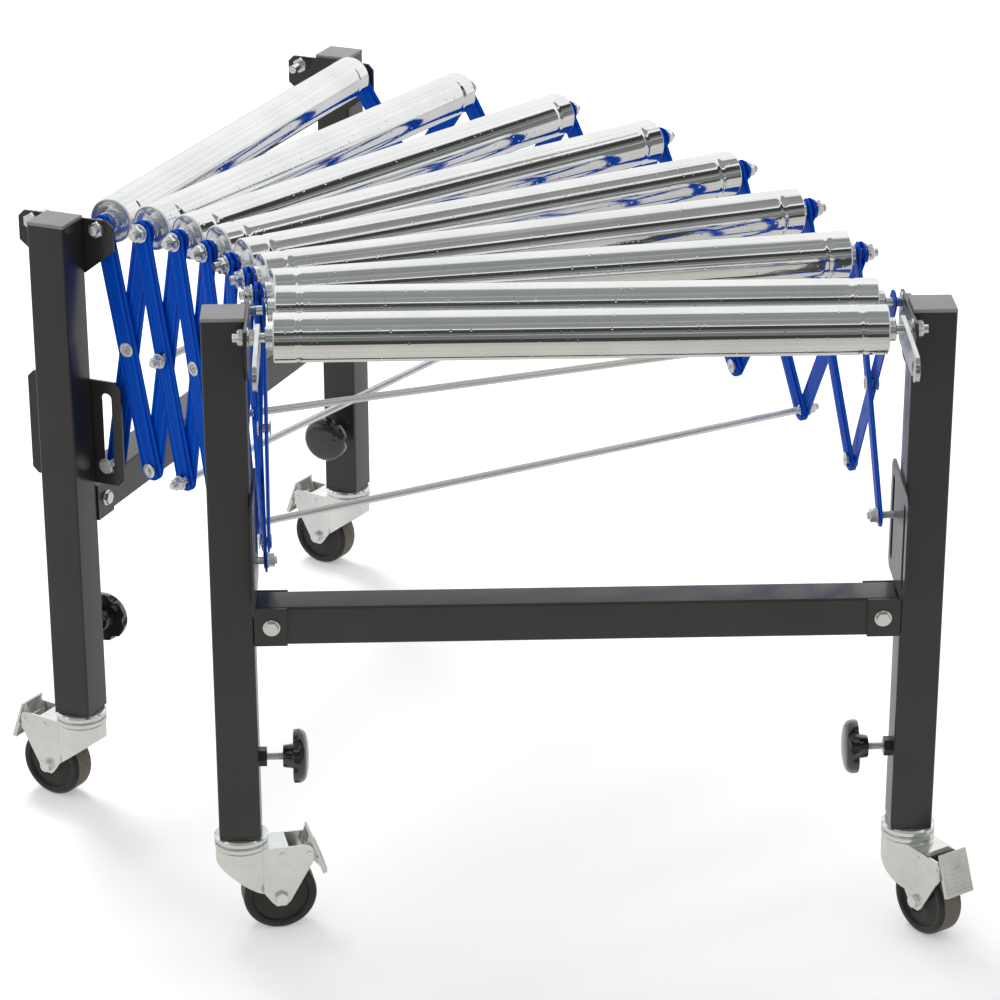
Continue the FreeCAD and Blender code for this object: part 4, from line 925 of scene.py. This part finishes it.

# Scissor bars: pressed steel strip with round ends and a raised middle, painted gloss blue. They cross
# in pairs on the axles and are joined by zinc eyelet rivets with rolled rims. The blue carries painted
# highlights and shade on the rib's edges and painted highlight streaks along each bar.
blue_deep = (0.0, 0.026, 0.28)
blue_bright = (0.0, 0.125, 0.80)
# Painted highlights and shade across a bar's width: light at the rib's shoulder and rolled edge, dark on the rib's
# flank.
rib_highlight_shade = [(0.0, 0.55), (0.30, 0.50), (0.46, 0.85), (0.56, 0.60), (0.66, 0.15), (0.78, 0.40), (0.90, 0.80),
             (1.0, 0.55)]
# Painted highlight streaks, drawn out along each bar.
sheen_streak_stretch = (9, 420, 0)
sheen_streak_share = 0.9
middle_tone = 0.5
span = 0.280
bar_half = 0.0125
bar_depth = 0.0035
bar_steps = 16
bar_contours = [(0.0, 0.0), (0.0, 0.0013), (0.0003, 0.0018), (0.0010, 0.0021), (0.0026, 0.0022), (0.0036, 0.0026),
                (0.0047, 0.0031), (0.0060, 0.00335), (0.0085, bar_depth)]
axle_hole = 0.00565
rivet_hole = 0.0065
drill_depth = 0.02
inner_back = 0.3173
outer_back = 0.3203
bar_length_least = 0.25
rivet_deep = 0.009
rivet_low = -0.0082
rivet_bore = 0.0016
rivet_shank = 0.0046
rivet_head = 0.0082
flange_wide = 0.009
flange_lift = 0.0009
slot_edge = 0.0003
last_axle = 7
rod_middles = (2, 6)
rod_feet = (2, 5)


def bar_strip():
    """One bar along X: contours of its rounded outline, set in and raised to the crowned middle."""
    corners, faces = [], []
    for inset, height in bar_contours:
        radius = bar_half - inset
        for x, start in ((0.0, pi / 2), (span, -pi / 2)):
            for k in range(bar_steps + 1):
                angle = start + pi * k / bar_steps
                corners.append((x + radius * cos(angle), radius * sin(angle), height))
    count = 2 * (bar_steps + 1)
    for ring in range(len(bar_contours) - 1):
        for k in range(count):
            a, b = ring * count + k, ring * count + (k + 1) % count
            faces.append((a, b, b + count, a + count))
    faces.append(tuple(range(count))[::-1])
    top = (len(bar_contours) - 1) * count
    faces.append(tuple(range(top, top + count)))
    return solid_from("bar_strip", corners, faces)


def drill(x, radius):
    """A round cutter through a bar at a distance along it."""
    shape = bmesh.new()
    bmesh.ops.create_cone(shape, cap_ends=True, segments=40, radius1=radius, radius2=radius, depth=drill_depth)
    return moved(mesh_of("drill", shape), shifted(x))


def flange_seat(bolt, nut):
    """Frame low on the head of a slot bolt, with X pointing outwards, from its solid and its nut's."""
    middle = sum(extent(bolt), Vector()) / 2
    ahead = (middle - sum(extent(nut), Vector()) / 2).normalized()
    head_end = max((v.co - middle).dot(ahead) for v in bolt.vertices)
    return pointed(middle + ahead * (head_end - bolt_head_high + flange_lift), ahead)


def rivet_outline():
    """Half section of an eyelet rivet along X: rolled rims on a hollow shank."""
    low, top, bore, shank, head = rivet_low, bar_depth, rivet_bore, rivet_shank, rivet_head
    upper = [(top, shank), (top, head - 0.0004), (top + 0.0004, head), (top + 0.0011, head - 0.0008)]
    upper += [(top + 0.0014, head - 0.0020), (top + 0.0010, head - 0.0031), (top - 0.0018, head - 0.0038)]
    upper += [(top - 0.0018, bore + 0.0018), (top + 0.0004, bore + 0.0014), (top + 0.0006, bore + 0.0009)]
    lower = [(top, bore), (low + 0.0004, bore), (low - 0.0007, bore + 0.0006)]
    lower += [(low - 0.0013, head - 0.0036), (low - 0.0012, head - 0.0012), (low - 0.0004, head)]
    lower += [(low, head - 0.0004), (low, shank)]
    return upper + lower


def axle_frame(k):
    """Frame of lattice axle k: 0 at the front stand, 7 at the rear stand."""
    return along(f"roller_spin_{last_axle + 1 - k}")


def bar_place(top, foot, offset, facing):
    """Frame of a bar that hangs from axle top to the pivot below axle foot."""
    head = axle_frame(top) @ Vector((offset, 0, 0))
    below = axle_frame(foot) @ Vector((offset, 0, 0))
    chord = below - head
    tail = below - Vector((0, 0, sqrt(span ** 2 - chord.length_squared)))
    x_axis = (tail - head).normalized()
    normal = Vector((0, 0, 1)).cross(chord).normalized()
    if normal.dot(axle_frame(top).to_3x3() @ Vector((1, 0, 0))) * facing < 0:
        normal = -normal
    return axes_at(head, x_axis, normal.cross(x_axis), normal)


def bar_a(k, side):
    """Bar from axle k to the pivot below axle k - 1: outer on the left, inner on the right."""
    return bar_place(k, k - 1, -outer_back if side == "left" else inner_back, -1)


def bar_b(k, side):
    """Bar from axle k - 1 to the pivot below axle k: inner on the left, outer on the right."""
    return bar_place(k - 1, k, -inner_back if side == "left" else outer_back, 1)


def painted_rib_sheen(material, dark, light):
    """Painted light along a bar: lighter lines on the rib's shoulder and rolled edge and a darker line on its flank,
    as painted highlights and shade, and streaks drawn out along the bar as painted highlight streaks, all by the bar's
    own coordinates.
    """
    nodes = material.node_tree
    sheen_streaks, local = drawn_lines(nodes, sheen_streak_stretch)
    from_middle = joined(nodes, "DIVIDE", joined(nodes, "ABSOLUTE", apart(nodes, local)["Y"]), bar_half)
    lines = ramp(nodes, rib_highlight_shade, from_middle)
    share = joined(nodes, "MULTIPLY_ADD", sheen_streaks, sheen_streak_share, joined(nodes, "SUBTRACT", lines, middle_tone))
    wire(nodes, toned(nodes, share, (*dark, 1), (*light, 1)), nodes.nodes["Principled BSDF"].inputs["Base Color"])


lattice_blue = finish_of("lattice_blue", blue_deep, blue_bright, (0.20, 0.32), patch=26.0, grain=700.0, bump=0.02,
                         coat=0.06, shine=0.05)
rivet_zinc = finish_of("rivet_zinc", (0.78, 0.80, 0.80), (0.92, 0.93, 0.92), (0.18, 0.34), patch=150.0, grain=1300.0,
                       metal=0.5, bump=0.01)
strip = cut_from(bar_strip(), [drill(0.0, axle_hole), drill(span / 2, rivet_hole), drill(span, rivet_hole)])
own_coordinates(strip)
# The bars' blue gets painted highlights and shade on the rib and painted highlight streaks along each bar.
painted_rib_sheen(lattice_blue, blue_deep, blue_bright)
rivet = lathe("rivet", rivet_outline(), turns=40)
slot_flange = washer("slot_flange", bolt_radius, flange_wide, washer_thick)
upright = Matrix.Rotation(-pi / 2, 4, "Y")
for k in range(last_axle + 1):
    held = {"a": [], "b": []}
    if k > 0:
        riveted = k not in rod_middles
        held["a"].append((bar_a(k, "left"), riveted, span / 2))
        held["b"].append((bar_a(k, "right"), riveted, span / 2))
    if k < last_axle:
        riveted = k + 1 < last_axle and k + 1 not in rod_feet
        held["a"].append((bar_b(k + 1, "right"), riveted, span))
        held["b"].append((bar_b(k + 1, "left"), riveted, span))
    for letter, bars in held.items():
        node = f"scissor_bars_{last_axle + 1 - k}{letter}"
        strips = copies_of(strip, [place for place, _, _ in bars], lattice_blue)
        piece_of(f"{node}_strips", [strips], lattice_blue, node, stand_for=node, smooth=radians(40))
        pins = [place @ shifted(reach) @ upright for place, riveted, reach in bars if riveted]
        if pins:
            piece_of(f"{node}_rivets", [copies_of(rivet, pins, rivet_zinc)], rivet_zinc, node,
                     smooth=radians(40))
        small = []
        for solid in solids_of(node):
            low, high = extent(solid)
            middle = (low + high) / 2
            is_rivet = any((middle - pin.translation).length < rivet_deep for pin in pins)
            if (high - low).length < bar_length_least and not is_rivet:
                small.append(solid)
        if small:
            small.sort(key=lambda solid: (extent(solid)[1] - extent(solid)[0]).length)
            small.append(moved(slot_flange, flange_seat(small[-1], small[0])))
            piece_of(f"{node}_bolts", small, bolt_zinc, node, edge=slot_edge)

# Tie rods: thin zinc rods across the conveyor that hold the two lattices square, with a washer and a
# nut on each threaded end outside the bars.
tie_radius = 0.004
tie_thread = 0.030
tie_washer_wide = 0.0085
tie_flats = 0.013
tie_nut_high = 0.0065
rod_zinc = finish_of("rod_zinc", (0.80, 0.82, 0.80), (0.92, 0.93, 0.91), (0.16, 0.24), patch=12.0, grain=300.0,
                     metal=0.6, bump=0.005)
tie_nut = hex_nut("tie_nut", tie_flats, tie_nut_high, tie_radius)
tie_washer = washer("tie_washer", tie_radius, tie_washer_wide, washer_thick)
for where, numbers in (("middle", rod_middles), ("foot", rod_feet)):
    for number in numbers:
        node = f"tie_rod_{where}_{number}"
        fittings = []
        for solid in solids_of(node):
            low, high = extent(solid)
            if (high - low).length > bar_length_least:
                spots = sorted((v.co.copy() for v in solid.vertices), key=lambda co: co.y)
                ring = len(spots) // 2
                ends = [sum(half, Vector()) / ring for half in (spots[:ring], spots[ring:])]
            else:
                fittings.append((low + high) / 2)
        rod_middle = (ends[0] + ends[1]) / 2
        line = pointed(rod_middle, (ends[1] - ends[0]).normalized())
        half = (ends[1] - ends[0]).length / 2
        bar = threaded_bar(node, -half, half, tie_radius, [(-half, tie_thread - half), (half - tie_thread, half)])
        nuts, washers = [], []
        reaches = [(line.inverted() @ spot).x for spot in fittings]
        for reach in reaches:
            facing = line if reach > 0 else line @ half_turn
            nearer = [x for x in reaches if x * reach > 0 and abs(x) < abs(reach) - washer_thick]
            (nuts if nearer else washers).append((facing, abs(reach)))
        meshes = [moved(bar, line)]
        for shape, high, places in ((tie_nut, tie_nut_high, nuts), (tie_washer, washer_thick, washers)):
            seats = [facing @ shifted(reach - high / 2) for facing, reach in places]
            meshes.append(copies_of(shape, seats, rod_zinc))
        piece_of(f"{node}_bar", meshes, rod_zinc, node, stand_for=node, smooth=radians(25))

# Coupling hooks: flat zinc-plated links that reach forward from the front roller's axle. Each has a
# mouth at the end, open below, that drops over the coupling bolt of the next conveyor.
hook_edge = 0.0006
hook_zinc = finish_of("hook_zinc", (0.60, 0.63, 0.62), (0.84, 0.85, 0.83), (0.16, 0.30), patch=30.0, grain=600.0,
                      metal=1.0, bump=0.02)
piece_of("coupling_links", solids_of("coupling_hooks"), hook_zinc, "coupling_hooks", edge=hook_edge,
         stand_for="coupling_hooks")
